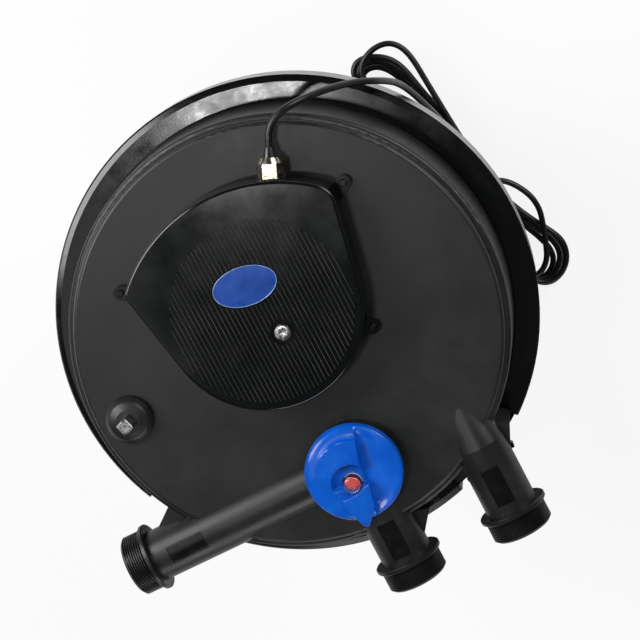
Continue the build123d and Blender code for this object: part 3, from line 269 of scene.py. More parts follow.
# EPDM rubber: matt and a little dusty
SEAL_SKIN = Finish(
    "Black EPDM seal", "0c0c0c", "090909", "121212",
    roughness=0.6, grain_mm=0.8, grain_height_mm=0.02, scuff_mm=15, scuff=0.08,
)
# Rubber sheath: a long soft highlight, duller where it was gripped
CORD_SKIN = Finish(
    "Black rubber cord sheath", "0c0c0d", "080809", "151516",
    roughness=0.34, grain_mm=1.2, grain_height_mm=0.03, scuff_mm=18, scuff=0.1,
)
# Nickel plating yellowed in patches: bright with warm dark spots
NICKEL = Finish(
    "Nickel-plated brass gland", "a9a294", "7c766a", "cfc9bc",
    roughness=0.22, grain_mm=2.0, grain_height_mm=0.02, scuff_mm=6, scuff=0.1, metallic=1.0,
)
# Turned stainless steel: a narrow clean shine
STAINLESS = Finish(
    "Turned stainless pin", "a8a8a8", "8c8c8c", "c4c4c4",
    roughness=0.28, grain_mm=1.0, grain_height_mm=0.01, scuff_mm=8, scuff=0.08, metallic=1.0,
)
# A rough sand-cast head: pitted, with grains that sparkle
CAST_STEEL = Finish(
    "Sand-cast zinc-plated head", "a3a3a0", "4d4d4b", "dededb",
    roughness=0.4, grain_mm=2.2, grain_height_mm=0.35, scuff_mm=4, scuff=0.15, metallic=1.0,
)
# Black oxide: almost no colour, a dull metal shine
SCREW_BLACK = Finish(
    "Black oxide screw", "18181a", "0e0e0f", "2c2c2e",
    roughness=0.3, grain_mm=1.0, grain_height_mm=0.02, scuff_mm=5, scuff=0.1, metallic=0.6,
)
# Bright zinc plating: the one mirror on the cover
ZINC = Finish(
    "Bright zinc screw", "b8b8b6", "989896", "d6d6d4",
    roughness=0.24, grain_mm=1.0, grain_height_mm=0.02, scuff_mm=4, scuff=0.1, metallic=1.0,
)
# Glazed ceramic: warm white and smooth
WHITE_PART = Finish(
    "White glazed ceramic", "e2e1da", "d6d5ce", "ecebe6",
    roughness=0.35, grain_mm=2.0, grain_height_mm=0.01, scuff_mm=20, scuff=0.05,
)
# Fused quartz: clear, with a sharp shine along its edges
QUARTZ = Finish(
    "Fused quartz tube", "f0f5f8", "eaf0f4", "f6fafc",
    roughness=0.05, grain_mm=5.0, grain_height_mm=0.002, scuff_mm=40, scuff=0.02,
    transmission=1.0, ior=1.46,
)
# Clear polycarbonate: the float shows under one hard small highlight
DOME_CLEAR = Finish(
    "Clear polycarbonate dome", "f4f6f8", "eef2f5", "fbfcfd",
    roughness=0.04, grain_mm=5.0, grain_height_mm=0.002, scuff_mm=40, scuff=0.01,
    transmission=1.0,
)
# The float's red plastic, seen through the dome
FLOAT_RED = Finish(
    "Red flow float", "c4201c", "a81814", "dc3a30",
    roughness=0.3, grain_mm=1.5, grain_height_mm=0.01, scuff_mm=6, scuff=0.06,
)
# Open-cell foam of the coarsest grade: dull, with deep pores and a faint bloom
FOAM_COARSE = Finish(
    "Blue open-cell foam", "27508c", "1b3b6b", "3a68a8",
    roughness=0.9, grain_mm=2.5, grain_height_mm=1.2, scuff_mm=12, scuff=0.05, sheen=0.3,
)
# The middle grade of foam: finer pores, the same dull bloom
FOAM_MEDIUM = Finish(
    "Red open-cell foam", "8c2a2a", "6b1c1c", "a83f3c",
    roughness=0.9, grain_mm=1.8, grain_height_mm=0.9, scuff_mm=12, scuff=0.05, sheen=0.3,
)
# The finest grade of foam: almost even, still dull
FOAM_FINE = Finish(
    "Purple open-cell foam", "5a3a78", "452a60", "714f92",
    roughness=0.9, grain_mm=1.2, grain_height_mm=0.6, scuff_mm=12, scuff=0.05, sheen=0.3,
)

NODE_FINISHES: dict[Finish, tuple[str, ...]] = {
    TUB_SKIN: ("tub",),
    LID_SKIN: ("lid", "valve_cap", "drive_bush"),
    PORT_SKIN: (
        "inlet_fitting", "outlet_fitting", "bypass_fitting", "cover_bracket", "ballast",
        "sleeve_nut", "drive_pinion", "core_base_plate", "core_tube", "core_gear_plate",
        "foam_grids", "valve_rotor",
    ),
    CLAMP_SKIN: ("clamp_band", "clamp_gate", "latch_lever"),
    HOUSING_SKIN: ("uv_base", "uv_cover"),
    DIAL_SKIN: ("valve_knob",),
    BADGE_SKIN: ("badge",),
    SEAL_SKIN: ("lid_seal", "sleeve_seal", "shaft_seal"),
    CORD_SKIN: ("gland_seal", "power_cord", "cord_hank", "cord_tail", "mains_plug"),
    NICKEL: ("gland_body", "gland_nut"),
    STAINLESS: ("clamp_hinge_pin", "latch_pin"),
    CAST_STEEL: ("drive_shaft",),
    SCREW_BLACK: ("lug_screws",),
    ZINC: ("cover_screw",),
    WHITE_PART: ("lamp_socket",),
    QUARTZ: ("quartz_sleeve", "uv_lamp"),
    DOME_CLEAR: ("indicator_dome",),
    FLOAT_RED: ("indicator_float",),
    FOAM_COARSE: ("foam_coarse",),
    FOAM_MEDIUM: ("foam_medium",),
    FOAM_FINE: ("foam_fine",),
}


class Paintbox:
    """Keeps one material per finish and puts it on objects."""

    def __init__(self) -> None:
        """Starts with no material made."""
        self.made: dict[Finish, bpy.types.Material] = {}

    def material(self, finish: Finish) -> bpy.types.Material:
        """Returns the finish's material, made on its first use."""
        if finish not in self.made:
            self.made[finish] = finish.build()
        return self.made[finish]

    def paint(self, obj: bpy.types.Object, finish: Finish) -> None:
        """Puts a finish on a whole object."""
        obj.data.materials.clear()
        obj.data.materials.append(self.material(finish))

    def paint_nodes(self) -> None:
        """Gives every CAD node its finish."""
        for finish, names in NODE_FINISHES.items():
            for name in names:
                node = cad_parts[name]
                self.paint(node, finish)
                LOG.info("finish %s on node %s", finish.name, name)


# Modelling helpers


def deselect() -> None:
    """Leaves nothing selected, so an operator acts on the new piece alone."""
    if bpy.context.mode != "OBJECT":
        bpy.ops.object.mode_set(mode="OBJECT")
    bpy.ops.object.select_all(action="DESELECT")


def smooth(obj: bpy.types.Object, degrees: float = 35.0) -> None:
    """Smooths the faces that meet at less than an angle.

    Args:
        obj: the piece.
        degrees: the angle.
    """
    deselect()
    obj.select_set(True)
    bpy.context.view_layer.objects.active = obj
    bpy.ops.object.shade_smooth_by_angle(angle=math.radians(degrees))


def settle(obj: bpy.types.Object, place: Matrix) -> bpy.types.Object:
    """Moves a piece modelled at the origin to its place and keeps that place in its mesh.

    Args:
        obj: the piece.
        place: where its own axes go, in metres.

    Returns:
        The piece.
    """
    deselect()
    obj.select_set(True)
    bpy.context.view_layer.objects.active = obj
    obj.matrix_world = place @ obj.matrix_world
    bpy.ops.object.transform_apply(location=True, rotation=True, scale=True)
    return obj


def link(name: str, data: bpy.types.Mesh | bpy.types.Curve) -> bpy.types.Object:
    """Puts new data into the scene as the one selected object.

    Args:
        name: the object's name.
        data: its mesh or curve.

    Returns:
        The object.
    """
    obj = bpy.data.objects.new(name, data)
    bpy.context.scene.collection.objects.link(obj)
    deselect()
    obj.select_set(True)
    bpy.context.view_layer.objects.active = obj
    return obj


def from_bmesh(name: str, mesh: bmesh.types.BMesh) -> bpy.types.Object:
    """Turns a bmesh into an object with its normals outward.

    Args:
        name: the object's name.
        mesh: the bmesh, which is freed.

    Returns:
        The object.
    """
    bmesh.ops.recalc_face_normals(mesh, faces=mesh.faces)
    data = bpy.data.meshes.new(name)
    mesh.to_mesh(data)
    mesh.free()
    return link(name, data)


def lathe(name: str, steps: Sequence[tuple[float, float]], sides: int = 96) -> bpy.types.Object:
    """Turns a closed outline round +Z: a circle extruded and resized ring by ring.

    Args:
        name: the piece's name.
        steps: (radius, height) pairs in millimetres, round the outline; its last meets its first.
        sides: vertices round the circle.

    Returns:
        The piece, at the origin.
    """
    deselect()
    r, z = steps[0]
    bpy.ops.mesh.primitive_circle_add(vertices=sides, radius=r * MM, location=(0, 0, z * MM))
    obj = bpy.context.object
    obj.name = name
    bpy.ops.object.transform_apply(location=True, rotation=False, scale=False)
    bpy.ops.object.mode_set(mode="EDIT")
    bpy.ops.mesh.select_all(action="SELECT")
    for next_r, next_z in [*steps[1:], steps[0]]:
        rise = (0, 0, (next_z - z) * MM)
        bpy.ops.mesh.extrude_region_move(TRANSFORM_OT_translate={"value": rise})
        scale = next_r / r
        bpy.ops.transform.resize(value=(scale, scale, 1), center_override=(0, 0, 0))
        r, z = next_r, next_z
    bpy.ops.mesh.select_all(action="SELECT")
    bpy.ops.mesh.remove_doubles(threshold=WELD)
    bpy.ops.mesh.normals_make_consistent(inside=False)
    bpy.ops.object.mode_set(mode="OBJECT")
    smooth(obj)
    return obj


def frame_from(origin: Point, along: Vector, side: Vector) -> Matrix:
    """A place whose +Z runs along one direction and whose +X lies towards another.

    Args:
        origin: the place in millimetres.
        along: the direction of +Z.
        side: roughly the direction of +X.

    Returns:
        The matrix, in metres.
    """
    z = along.normalized()
    y = z.cross(side).normalized()
    x = y.cross(z)
    turn = Matrix((x, y, z)).transposed().to_4x4()
    return Matrix.Translation(Vector(origin) * MM) @ turn


# Sub-assemblies


@dataclass
class HosePort:
    """A threaded port end: collar, pipe thread and bore, as one turned piece."""

    name: str
    node: str
    back: Point
    outward: Vector
    bore: float = 22.0
    collar: float = 33.2
    collar_t: float = 4.5
    thread: float = 29.8
    thread_l: float = 21.0
    pitch: float = 2.309
    depth: float = 1.4
    edge: float = 0.8
    collar_edge: float = 0.9
    runout: float = 2.0
    first_turn: float = 1.2
    ridge: tuple[float, float, float] = (0.35, 0.6, 0.95)
    lead_in: tuple[float, float] = (0.4, 0.6)
    lead_end: float = 1.0

    def outline(self) -> list[Place]:
        """The section's (radius, height) pairs, with one ridge for each turn of the thread."""
        root = self.thread - self.depth
        start = self.collar_t
        steps = [(self.bore, 0.0), (self.collar - self.edge, 0.0), (self.collar, self.edge)]
        steps += [(self.collar, start - self.collar_edge), (self.collar - self.collar_edge, start)]
        steps.append((root, start))
        z = start + self.first_turn
        rise, crest, fall = (self.pitch * share for share in self.ridge)
        for _ in range(int((self.thread_l - self.runout) / self.pitch)):
            steps += [(root, z), (self.thread, z + rise)]
            steps += [(self.thread, z + crest), (root, z + fall)]
            z += self.pitch
        end = self.collar_t + self.thread_l
        steps += [(root - self.lead_in[0], end - self.lead_in[1]), (root - self.lead_end, end)]
        steps += [(self.bore + self.edge, end), (self.bore, end - self.edge)]
        return steps

    def build(self, paints: Paintbox) -> bpy.types.Object:
        """Turns the end and puts it on its tube.

        Args:
            paints: where its material comes from.

        Returns:
            The piece.
        """
        piece = lathe(self.name, self.outline())
        settle(piece, frame_from(self.back, self.outward, Vector((0, 0, 1))))
        paints.paint(piece, PORT_SKIN)
        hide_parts(self.node)
        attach(piece, "filter")
        LOG.info("port end %s", self.name)
        return piece


# Plan of each turn of the coil, top first: its bight in front, then its bight behind
COIL_TURNS: tuple[tuple[tuple[Place, ...], tuple[Place, ...]], ...] = (
    (
        (
            (203, -10.1), (215.9, -15), (226.9, -26.9), (236.2, -45.1), (237.9, -62.2),
            (234.6, -76.2), (230, -90.6), (225.4, -104.7), (219.4, -118.1), (208, -127.6),
            (195.6, -127.7),
        ),
        (
            (134.7, 141.4), (129.4, 154), (132.7, 166.4), (144.9, 175.6), (159.7, 179),
            (174.1, 175.9), (184, 164.1), (188.3, 146.5), (189.9, 120.2), (192, 90.4),
            (194.5, 58.8),
        ),
    ),
    (
        (
            (200.6, -14.7), (207.3, -32.2), (215.2, -50.4), (224.4, -69.2), (235.1, -86.7),
            (243.6, -103.2), (243.5, -118.4), (237, -131.6), (225.1, -140.9), (210.6, -143.8),
            (198.2, -136.3),
        ),
        (
            (128.5, 142.5), (121.2, 153.7), (122.1, 165), (129.4, 173), (141.5, 173.5),
            (154.8, 168), (166.5, 158.2), (174.2, 143.2), (178.9, 119.7), (186.6, 87),
            (191.6, 56),
        ),
    ),
    (
        (
            (199, -16.7), (203.8, -34.9), (211, -53.3), (219.8, -72.3), (229.4, -90.5),
            (235.8, -107), (235, -121.2), (227.3, -132.3), (215.5, -139.5), (202.5, -139.3),
            (193, -129.5),
        ),
        (
            (134.2, 133.2), (125.6, 145), (125.3, 157.6), (132.8, 166.1), (144.2, 166.5),
            (155.3, 160.2), (163.6, 149.7), (170.1, 134.6), (175.3, 113.3), (186, 87),
            (191.6, 56),
        ),
    ),
    (
        (
            (197.6, -18.1), (201.2, -37), (206.9, -56.7), (214.2, -75.9), (222.5, -94.1),
            (227.4, -110.6), (226, -123.6), (218, -133.3), (206.5, -137.8), (195.5, -134.2),
            (189.1, -122),
        ),
        (
            (134.9, 126.3), (124.8, 138.4), (124, 151.3), (132.1, 159.6), (144.5, 159.4),
            (154.8, 151.6), (161.9, 139.9), (167.7, 124.5), (172.5, 105.9), (186, 87),
            (191.6, 56),
        ),
    ),
    (
        (
            (198.4, -17.8), (204.2, -35.9), (211.8, -54.4), (221, -73.6), (231.5, -91.4),
            (238.7, -108.1), (238.4, -122.6), (231.6, -135.2), (219.2, -143.4), (205.2, -145.1),
            (194.2, -136.3),
        ),
        (
            (132.3, 135.6), (125.2, 147.3), (124.6, 159.5), (132, 167.6), (143.2, 168.7),
            (155.1, 162.6), (165.4, 152.3), (172.2, 137.6), (176.7, 115.9), (186, 87),
            (191.6, 56),
        ),
    ),
)
# The run between them, close along the tub
COIL_RUN: tuple[Place, ...] = (
    (185, -112), (179, -92), (178, -68), (184, -42), (188.3, -14), (188.4, 14), (185.5, 42),
    (178.5, 68), (168.5, 90), (156, 110), (145.5, 123),
)


@dataclass
class CordRoute:
    """The mains cord: its way down from the gland, its coil on the ground and its tail."""

    radius: float = 3.35
    gland_angle: float = 66.8
    exit_r: float = 180.0
    lead: float = 14.0
    exit_z: float = 472.0
    way: tuple[Point, ...] = (
        (89.5, 187.6, 471.5),
        (105.0, 190.0, 469.5),
        (120.0, 189.0, 458.5),
        (139.0, 185.5, 438.0),
        (160.0, 178.5, 411.0),
        (181.0, 166.5, 387.0),
        (190.5, 152.5, 333.0),
        (198.5, 120.0, 290.0),
        (203.0, 87.0, 242.0),
        (203.0, 60.0, 187.0),
        (200.0, 38.0, 134.0),
        (196.0, 26.0, 84.0),
    )
    drop: tuple[Point, ...] = ((195.5, 16.0, 62.0), (198.0, 2.0, 48.5))
    tail: tuple[Point, ...] = (
        (195.5, 22.0, 6.4),
        (196.0, -10.0, 4.4),
        (193.0, -45.0, 4.0),
        (192.0, -80.0, 4.0),
        (190.0, -108.0, 4.0),
        (186.0, -136.0, 4.6),
        (180.5, -160.0, 8.5),
        (175.0, -183.0, 14.0),
        (157.0, -203.0, 17.0),
        (139.0, -217.5, 17.0),
        (122.0, -225.0, 17.4),
    )
    top: float = 44.4
    rise: float = 7.2

    def on_gland(self, reach: float) -> Point:
        """The point on the gland's axis this far from the lid's axis, in millimetres."""
        a = math.radians(self.gland_angle)
        return (reach * math.cos(a), reach * math.sin(a), self.exit_z)

    def coil(self) -> list[Point]:
        """All turns in millimetres, each one cord's width lower than the one before."""
        points: list[Point] = []
        for turn, (front, behind) in enumerate(COIL_TURNS):
            plan = (*front, *COIL_RUN, *behind)
            for i, (x, y) in enumerate(plan):
                points.append((x, y, self.top - self.rise * (turn + (i + 1) / len(plan))))
        return points

    def points(self) -> list[Point]:
        """The whole route in millimetres, from the gland to the plug."""
        start, lead = self.on_gland(self.exit_r), self.on_gland(self.exit_r + self.lead)
        return [start, lead, *self.way, *self.drop, *self.coil(), *self.tail]

    def build(self, paints: Paintbox) -> bpy.types.Object:
        """Args:
            paints: where its material comes from.

        Returns:
            The cord's curve.
        """
        route = metres(self.points())
        data = bpy.data.curves.new("mains_cord", "CURVE")
        data.dimensions = "3D"
        data.bevel_depth = self.radius * MM
        data.bevel_resolution = 3
        data.resolution_u = 6
        data.use_fill_caps = True
        spline = data.splines.new("NURBS")
        spline.points.add(len(route) - 1)
        for p, q in zip(spline.points, route):
            p.co = (*q, 1.0)
        spline.order_u = 3
        spline.use_endpoint_u = True
        cord = link("mains_cord", data)
        cord.data.materials.append(paints.material(CORD_SKIN))
        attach(cord, "filter")
        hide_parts("power_cord", "cord_hank", "cord_tail")
        LOG.info("mains cord with %d points", len(route))
        return cord


@dataclass(frozen=True)
class Rise:
    """A smooth rise from 0 to 1, centred on an edge and as wide as given."""

    edge: float
    width: float

    def at(self, value: float) -> float:
        """How far the rise has come at a value."""
        t = min(1.0, max(0.0, (value - self.edge) / self.width + 0.5))
        return t * t * (3 - 2 * t)


@dataclass
class Dial:
    """The blue diverter dial: rim, plateau with an arc step, scooped side, pocket and pointer.

    Heights are over the rim, and places are from the dial's centre, all in millimetres.
    """

    centre: Point = (0.0, -138.3, 480.4)
    radius: float = 46.0
    bottom: float = -10.0
    rings: int = 70
    sides: int = 240
    hub: float = 0.02
    window: Place = (-5.0, -7.7)
    ridge_top: Place = (20.0, 38.0)
    ridge_tip: Place = (3.4, -40.0)
    ridge_bow: float = 2.4
    bow_from: float = -36.0
    bow_length: float = 70.0
    ridge_side: Rise = Rise(0.0, 2.4)
    lift: float = 5.0
    plateau_r: float = 34.0
    plateau_round: float = 12.0
    plateau_drop: float = 0.72
    arc_middle: Place = (-1.0, -2.0)
    arc: Rise = Rise(36.0, 1.3)
    arc_depth: float = 4.2
    arc_sweep: Rise = Rise(105.0, 70.0)
    arc_start: float = 210.0
    arc_end: float = 175.0
    low: Rise = Rise(-15.0, 22.0)
    low_lean: float = 0.55
    low_depth: float = 2.0
    low_edge: Rise = Rise(18.0, 6.0)
    low_shift: float = 20.0
    valley_depth: float = 3.6
    valley_at: float = 5.0
    valley_width: float = 11.0
    valley_end: Rise = Rise(40.0, 10.0)
    swell_height: float = 1.6
    swell_at: Place = (35.0, 14.0)
    swell_size: Place = (9.0, 16.0)
    pocket: Rise = Rise(17.5, 2.5)
    pocket_shift: Place = (-1.0, 1.0)
    pocket_front: Rise = Rise(-2.0, 3.0)
    pocket_lean: float = 0.15
    pocket_depth: float = 5.6
    well: Rise = Rise(9.4, 1.2)
    well_depth: float = 5.2
    edge_from: float = 42.6
    edge_round: float = 3.4
    edge_drop: float = 2.4
    pointer_outline: tuple[Place, ...] = (
        (10.2, -13.0), (6.6, -24.0), (4.8, -36.0), (-9.0, -51.0), (-12.0, -51.6), (-15.0, -47.5),
        (-18.4, -34.5), (-20.5, -24.5), (-20.4, -18.0), (-13.5, -18.6), (-4.0, -17.6), (3.4, -14.6),
    )
    pointer_over: float = 1.0
    pointer_fall: float = 0.04
    pointer_flat: float = 18.0
    pointer_curve: float = 1.3
    pointer_base: float = 0.9
    pointer_edge: float = 0.9

    def from_ridge(self, x: float, y: float) -> float:
        """Measures from the ridge, the bowed line from the rim to the pointer's tip.

        Args:
            x: across the dial.
            y: along the dial.

        Returns:
            The distance to the left of it.
        """
        a = Vector(self.ridge_top)
        d = (Vector(self.ridge_tip) - a).normalized()
        share = max(0.0, min(1.0, (y - self.bow_from) / self.bow_length))
        bow = self.ridge_bow * math.sin(share * math.pi)
        return -(d.x * (y - a.y) - d.y * (x - a.x)) - bow

    def plateau(self, x: float, y: float) -> float:
        """Shapes the left half: flat, with a recess outside the arc and a low left corner.

        Args:
            x: across the dial.
            y: along the dial.

        Returns:
            Its height there.
        """
        rounded = max(0.0, (math.hypot(x, y) - self.plateau_r) / self.plateau_round)
        top = self.lift * (1 - self.plateau_drop * rounded**2)
        arc = self.arc.at(math.hypot(x - self.arc_middle[0], y - self.arc_middle[1]))
        angle = math.degrees(math.atan2(y, x))
        if 0.0 < angle < self.arc_end:
            top -= self.arc_depth * arc * self.arc_sweep.at(self.arc_start - angle)
        low = 1 - self.low.at(y + self.low_lean * x)
        return top - self.low_depth * low * (1 - self.low_edge.at(x + self.low_shift))

    def scoop(self, x: float, y: float, right: float) -> float:
        """Shapes the right half: a valley under the ridge and a swell before the rim.

        Args:
            x: across the dial.
            y: along the dial.
            right: the distance to the right of the ridge.

        Returns:
            Its height there.
        """
        across = ((right - self.valley_at) / self.valley_width) ** 2
        ends = 1 - self.valley_end.at(math.hypot(x, y))
        u = (x - self.swell_at[0]) / self.swell_size[0]
        v = (y - self.swell_at[1]) / self.swell_size[1]
        valley = -self.valley_depth * math.exp(-across) * ends
        return valley + self.swell_height * math.exp(-(u**2) - v**2)

    def height(self, x: float, y: float) -> float:
        """The dial's top over its rim.

        Args:
            x: across the dial from its centre.
            y: along the dial from its centre.

        Returns:
            The height, with the window's pocket and well sunk and the rim rounded.
        """
        left = self.from_ridge(x, y)
        on_plateau = self.ridge_side.at(left)
        top = self.plateau(x, y) * on_plateau + self.scoop(x, y, -left) * (1 - on_plateau)
        dx, dy = x - self.window[0], y - self.window[1]
        outer = 1 - self.pocket.at(math.hypot(dx - self.pocket_shift[0], dy - self.pocket_shift[1]))
        front = self.pocket_front.at(dy + self.pocket_lean * dx)
        top -= self.pocket_depth * outer * front * on_plateau
        top -= self.well_depth * (1 - self.well.at(math.hypot(dx, dy)))
        over = max(0.0, (math.hypot(x, y) - self.edge_from) / self.edge_round)
        return top - self.edge_drop * (1 - math.sqrt(max(0.0, 1 - over**2)))

    def body(self) -> bpy.types.Object:
        """The disc, with its top raised and scooped."""
        deselect()
        bpy.ops.mesh.primitive_circle_add(vertices=self.sides, radius=self.radius * MM)
        disc = bpy.context.object
        disc.name = "dial"
        bpy.ops.object.mode_set(mode="EDIT")
        bpy.ops.mesh.select_all(action="SELECT")
        side = (0, 0, -self.bottom * MM)
        bpy.ops.mesh.extrude_region_move(TRANSFORM_OT_translate={"value": side})
        reach = float(self.rings)
        for ring in range(self.rings):
            inner = self.rings - ring - 1 + self.hub
            bpy.ops.mesh.extrude_region_move(TRANSFORM_OT_translate={"value": (0, 0, 0)})
            scale = (inner / reach, inner / reach, 1)
            bpy.ops.transform.resize(value=scale, center_override=(0, 0, 0))
            reach = inner
        bpy.ops.mesh.merge(type="CENTER")
        bpy.ops.object.mode_set(mode="OBJECT")
        mesh = bmesh.new()
        mesh.from_mesh(disc.data)
        bmesh.ops.contextual_create(mesh, geom=[e for e in mesh.edges if e.is_boundary])
        for v in mesh.verts:
            if v.co.z > -self.bottom * MM / 2:
                v.co.z = self.height(v.co.x / MM, v.co.y / MM) * MM
            else:
                v.co.z = self.bottom * MM
        bmesh.ops.recalc_face_normals(mesh, faces=mesh.faces)
        mesh.to_mesh(disc.data)
        mesh.free()
        smooth(disc, 40)
        return disc

    def pointer(self) -> bpy.types.Object:
        """The pointer below the window: a flat facet that narrows and drops past the rim."""
        mesh = bmesh.new()
        top = []
        for x, y in self.pointer_outline:
            fall = self.pointer_fall * max(0.0, -y - self.pointer_flat) ** self.pointer_curve
            z = self.lift + self.pointer_over - fall
            top.append(mesh.verts.new((x * MM, y * MM, z * MM)))
        base = self.bottom * MM * self.pointer_base
        low = [mesh.verts.new((v.co.x, v.co.y, base)) for v in top]
        mesh.faces.new(top)
        mesh.faces.new(low[::-1])
        for i in range(len(top)):
            j = (i + 1) % len(top)
            mesh.faces.new((top[i], low[i], low[j], top[j]))
        piece = from_bmesh("dial_pointer", mesh)
        rounding = piece.modifiers.new("edge", "BEVEL")
        rounding.width = self.pointer_edge * MM
        rounding.segments = 3
        rounding.limit_method = "ANGLE"
        bpy.ops.object.modifier_apply(modifier=rounding.name)
        smooth(piece, 40)
        return piece

    def build(self, paints: Paintbox) -> None:
        """Makes the dial, which stands for the plain one, and its pointer.

        Args:
            paints: where their material comes from.
        """
        place = Matrix.Translation(Vector(self.centre) * MM)
        disc = settle(self.body(), place)
        pointer = settle(self.pointer(), place)
        for piece in (disc, pointer):
            paints.paint(piece, DIAL_SKIN)
            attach(piece, "diverter")
        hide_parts("valve_knob")
        LOG.info("dial and pointer")


class Ends(Enum):
    """How the line of a bead ends."""

    CAPPED = "capped"
    CLOSED = "closed"


@dataclass
class CoverTrim:
    """What catches the light on the lamp cover: a painted highlight along the rib crests, the
    badge's rim and the star screw.
    """

    drum: Place = (-2.0, 36.7)
    field: float = 85.0
    pitch: float = 4.2
    crest_z: float = 493.8
    crest: float = 0.42
    crest_end: float = 0.6
    shortest: int = 3
    badge: Place = (-4.5, 65.0)
    badge_half: Place = (30.5, 18.4)
    badge_gap: float = 1.0
    badge_turn: float = -8.1
    badge_z: float = 494.5
    rim: float = 0.45
    rim_points: int = 96
    screw: Place = (6.5, 11.7)
    recess: float = 11.6
    screw_outline: tuple[Place, ...] = (
        (2.4, 470.6), (2.4, 491.8), (7.0, 491.8), (7.9, 492.6), (7.9, 494.2), (7.3, 495.2),
        (6.0, 495.6), (4.1, 495.6), (3.8, 495.2), (3.5, 493.2), (0.4, 493.0), (0.4, 470.6),
    )
    lobed: Place = (3.4, 4.2)
    lobes: int = 6
    lobe_depth: float = 0.16

    def in_badge(self, x: float, y: float) -> float:
        """Measures from the badge's middle.

        Args:
            x: the point's X in millimetres.
            y: its Y.

        Returns:
            How far out it lies, 1 on the badge's edge.
        """
        turn = math.radians(self.badge_turn)
        dx, dy = x - self.badge[0], y - self.badge[1]
        along = dx * math.cos(turn) + dy * math.sin(turn)
        across = dy * math.cos(turn) - dx * math.sin(turn)
        half, short = (side + self.badge_gap for side in self.badge_half)
        return math.hypot(along / half, across / short)

    def free(self, x: float, y: float) -> bool:
        """Whether a rib runs through this point of the drum."""
        at_screw = math.hypot(x - self.screw[0], y - self.screw[1]) < self.recess
        return not at_screw and self.in_badge(x, y) > 1.0

    @staticmethod
    def beads(name: str, lines: list[list[Point]], radius: float, ends: Ends) -> bpy.types.Object:
        """Round beads along lines, as one mesh.

        Args:
            name: the piece's name.
            lines: each line's points in millimetres.
            radius: the beads' radius in millimetres.
            ends: whether each line is capped or closes on itself.

        Returns:
            The piece.
        """
        curve = bpy.data.curves.new(name, "CURVE")
        curve.dimensions = "3D"
        curve.bevel_depth = radius * MM
        curve.bevel_resolution = 2
        curve.use_fill_caps = ends is Ends.CAPPED
        for line in lines:
            spline = curve.splines.new("POLY")
            spline.points.add(len(line) - 1)
            for point, co in zip(spline.points, metres(line)):
                point.co = (*co, 1.0)
            spline.use_cyclic_u = ends is Ends.CLOSED
        link(name, curve)
        bpy.ops.object.convert(target="MESH")
        bead = bpy.context.object
        smooth(bead, 60)
        return bead

    def crests(self) -> bpy.types.Object:
        """Grey beads along the drum's rib crests, a painted highlight, broken at the badge and at
        the screw.
        """
        count = int(2 * self.field / self.pitch)
        lines: list[list[Point]] = []
        for i in range(count):
            x = self.drum[0] + (i - (count - 1) / 2) * self.pitch
            half = math.sqrt(max(0.0, self.field**2 - (x - self.drum[0]) ** 2)) - self.crest_end
            rows = [self.drum[1] - half + k for k in range(int(2 * half) + 1)]
            for on_rib, run in groupby(rows, lambda y: self.free(x, y)):
                stretch = list(run)
                if on_rib and len(stretch) >= self.shortest:
                    lines.append([(x, y, self.crest_z) for y in (stretch[0], stretch[-1])])
        return self.beads("rib_crest_highlights", lines, self.crest, Ends.CAPPED)

    def badge_rim(self) -> bpy.types.Object:
        """The rolled rim round the bare oval badge."""
        turn = math.radians(self.badge_turn)
        line = []
        for i in range(self.rim_points):
            a = math.tau * i / self.rim_points
            along = (self.badge_half[0] - self.rim) * math.cos(a)
            across = (self.badge_half[1] - self.rim) * math.sin(a)
            x = self.badge[0] + along * math.cos(turn) - across * math.sin(turn)
            y = self.badge[1] + along * math.sin(turn) + across * math.cos(turn)
            line.append((x, y, self.badge_z))
        return self.beads("badge_rim", [line], self.rim, Ends.CLOSED)

    def star_screw(self) -> bpy.types.Object:
        """The cover's screw: a pan head with a six-lobed recess, and its shank."""
        piece = lathe("star_screw", self.screw_outline)
        for v in piece.data.vertices:
            if self.lobed[0] < math.hypot(v.co.x, v.co.y) / MM < self.lobed[1]:
                out = 1 + self.lobe_depth * math.cos(self.lobes * math.atan2(v.co.y, v.co.x))
                v.co.x *= out
                v.co.y *= out
        return settle(piece, Matrix.Translation(Vector((*self.screw, 0.0)) * MM))

    def build(self, paints: Paintbox) -> None:
        """Makes the trim and puts it on the cover.

        Args:
            paints: where its materials come from.
        """
        # The grey beads on the rib crests are a painted highlight
        crests, rim, screw = self.crests(), self.badge_rim(), self.star_screw()
        for piece, finish, slot in (
            (crests, RIB_CREST_HIGHLIGHT, "housing_plastic"),
            (rim, BADGE_RIM, "blue_plastic"),
            (screw, ZINC, "black_screw"),
        ):
            paints.paint(piece, finish)
            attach(piece, "filter")
            LOG.info("cover trim %s", piece.name)
        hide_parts("cover_screw")


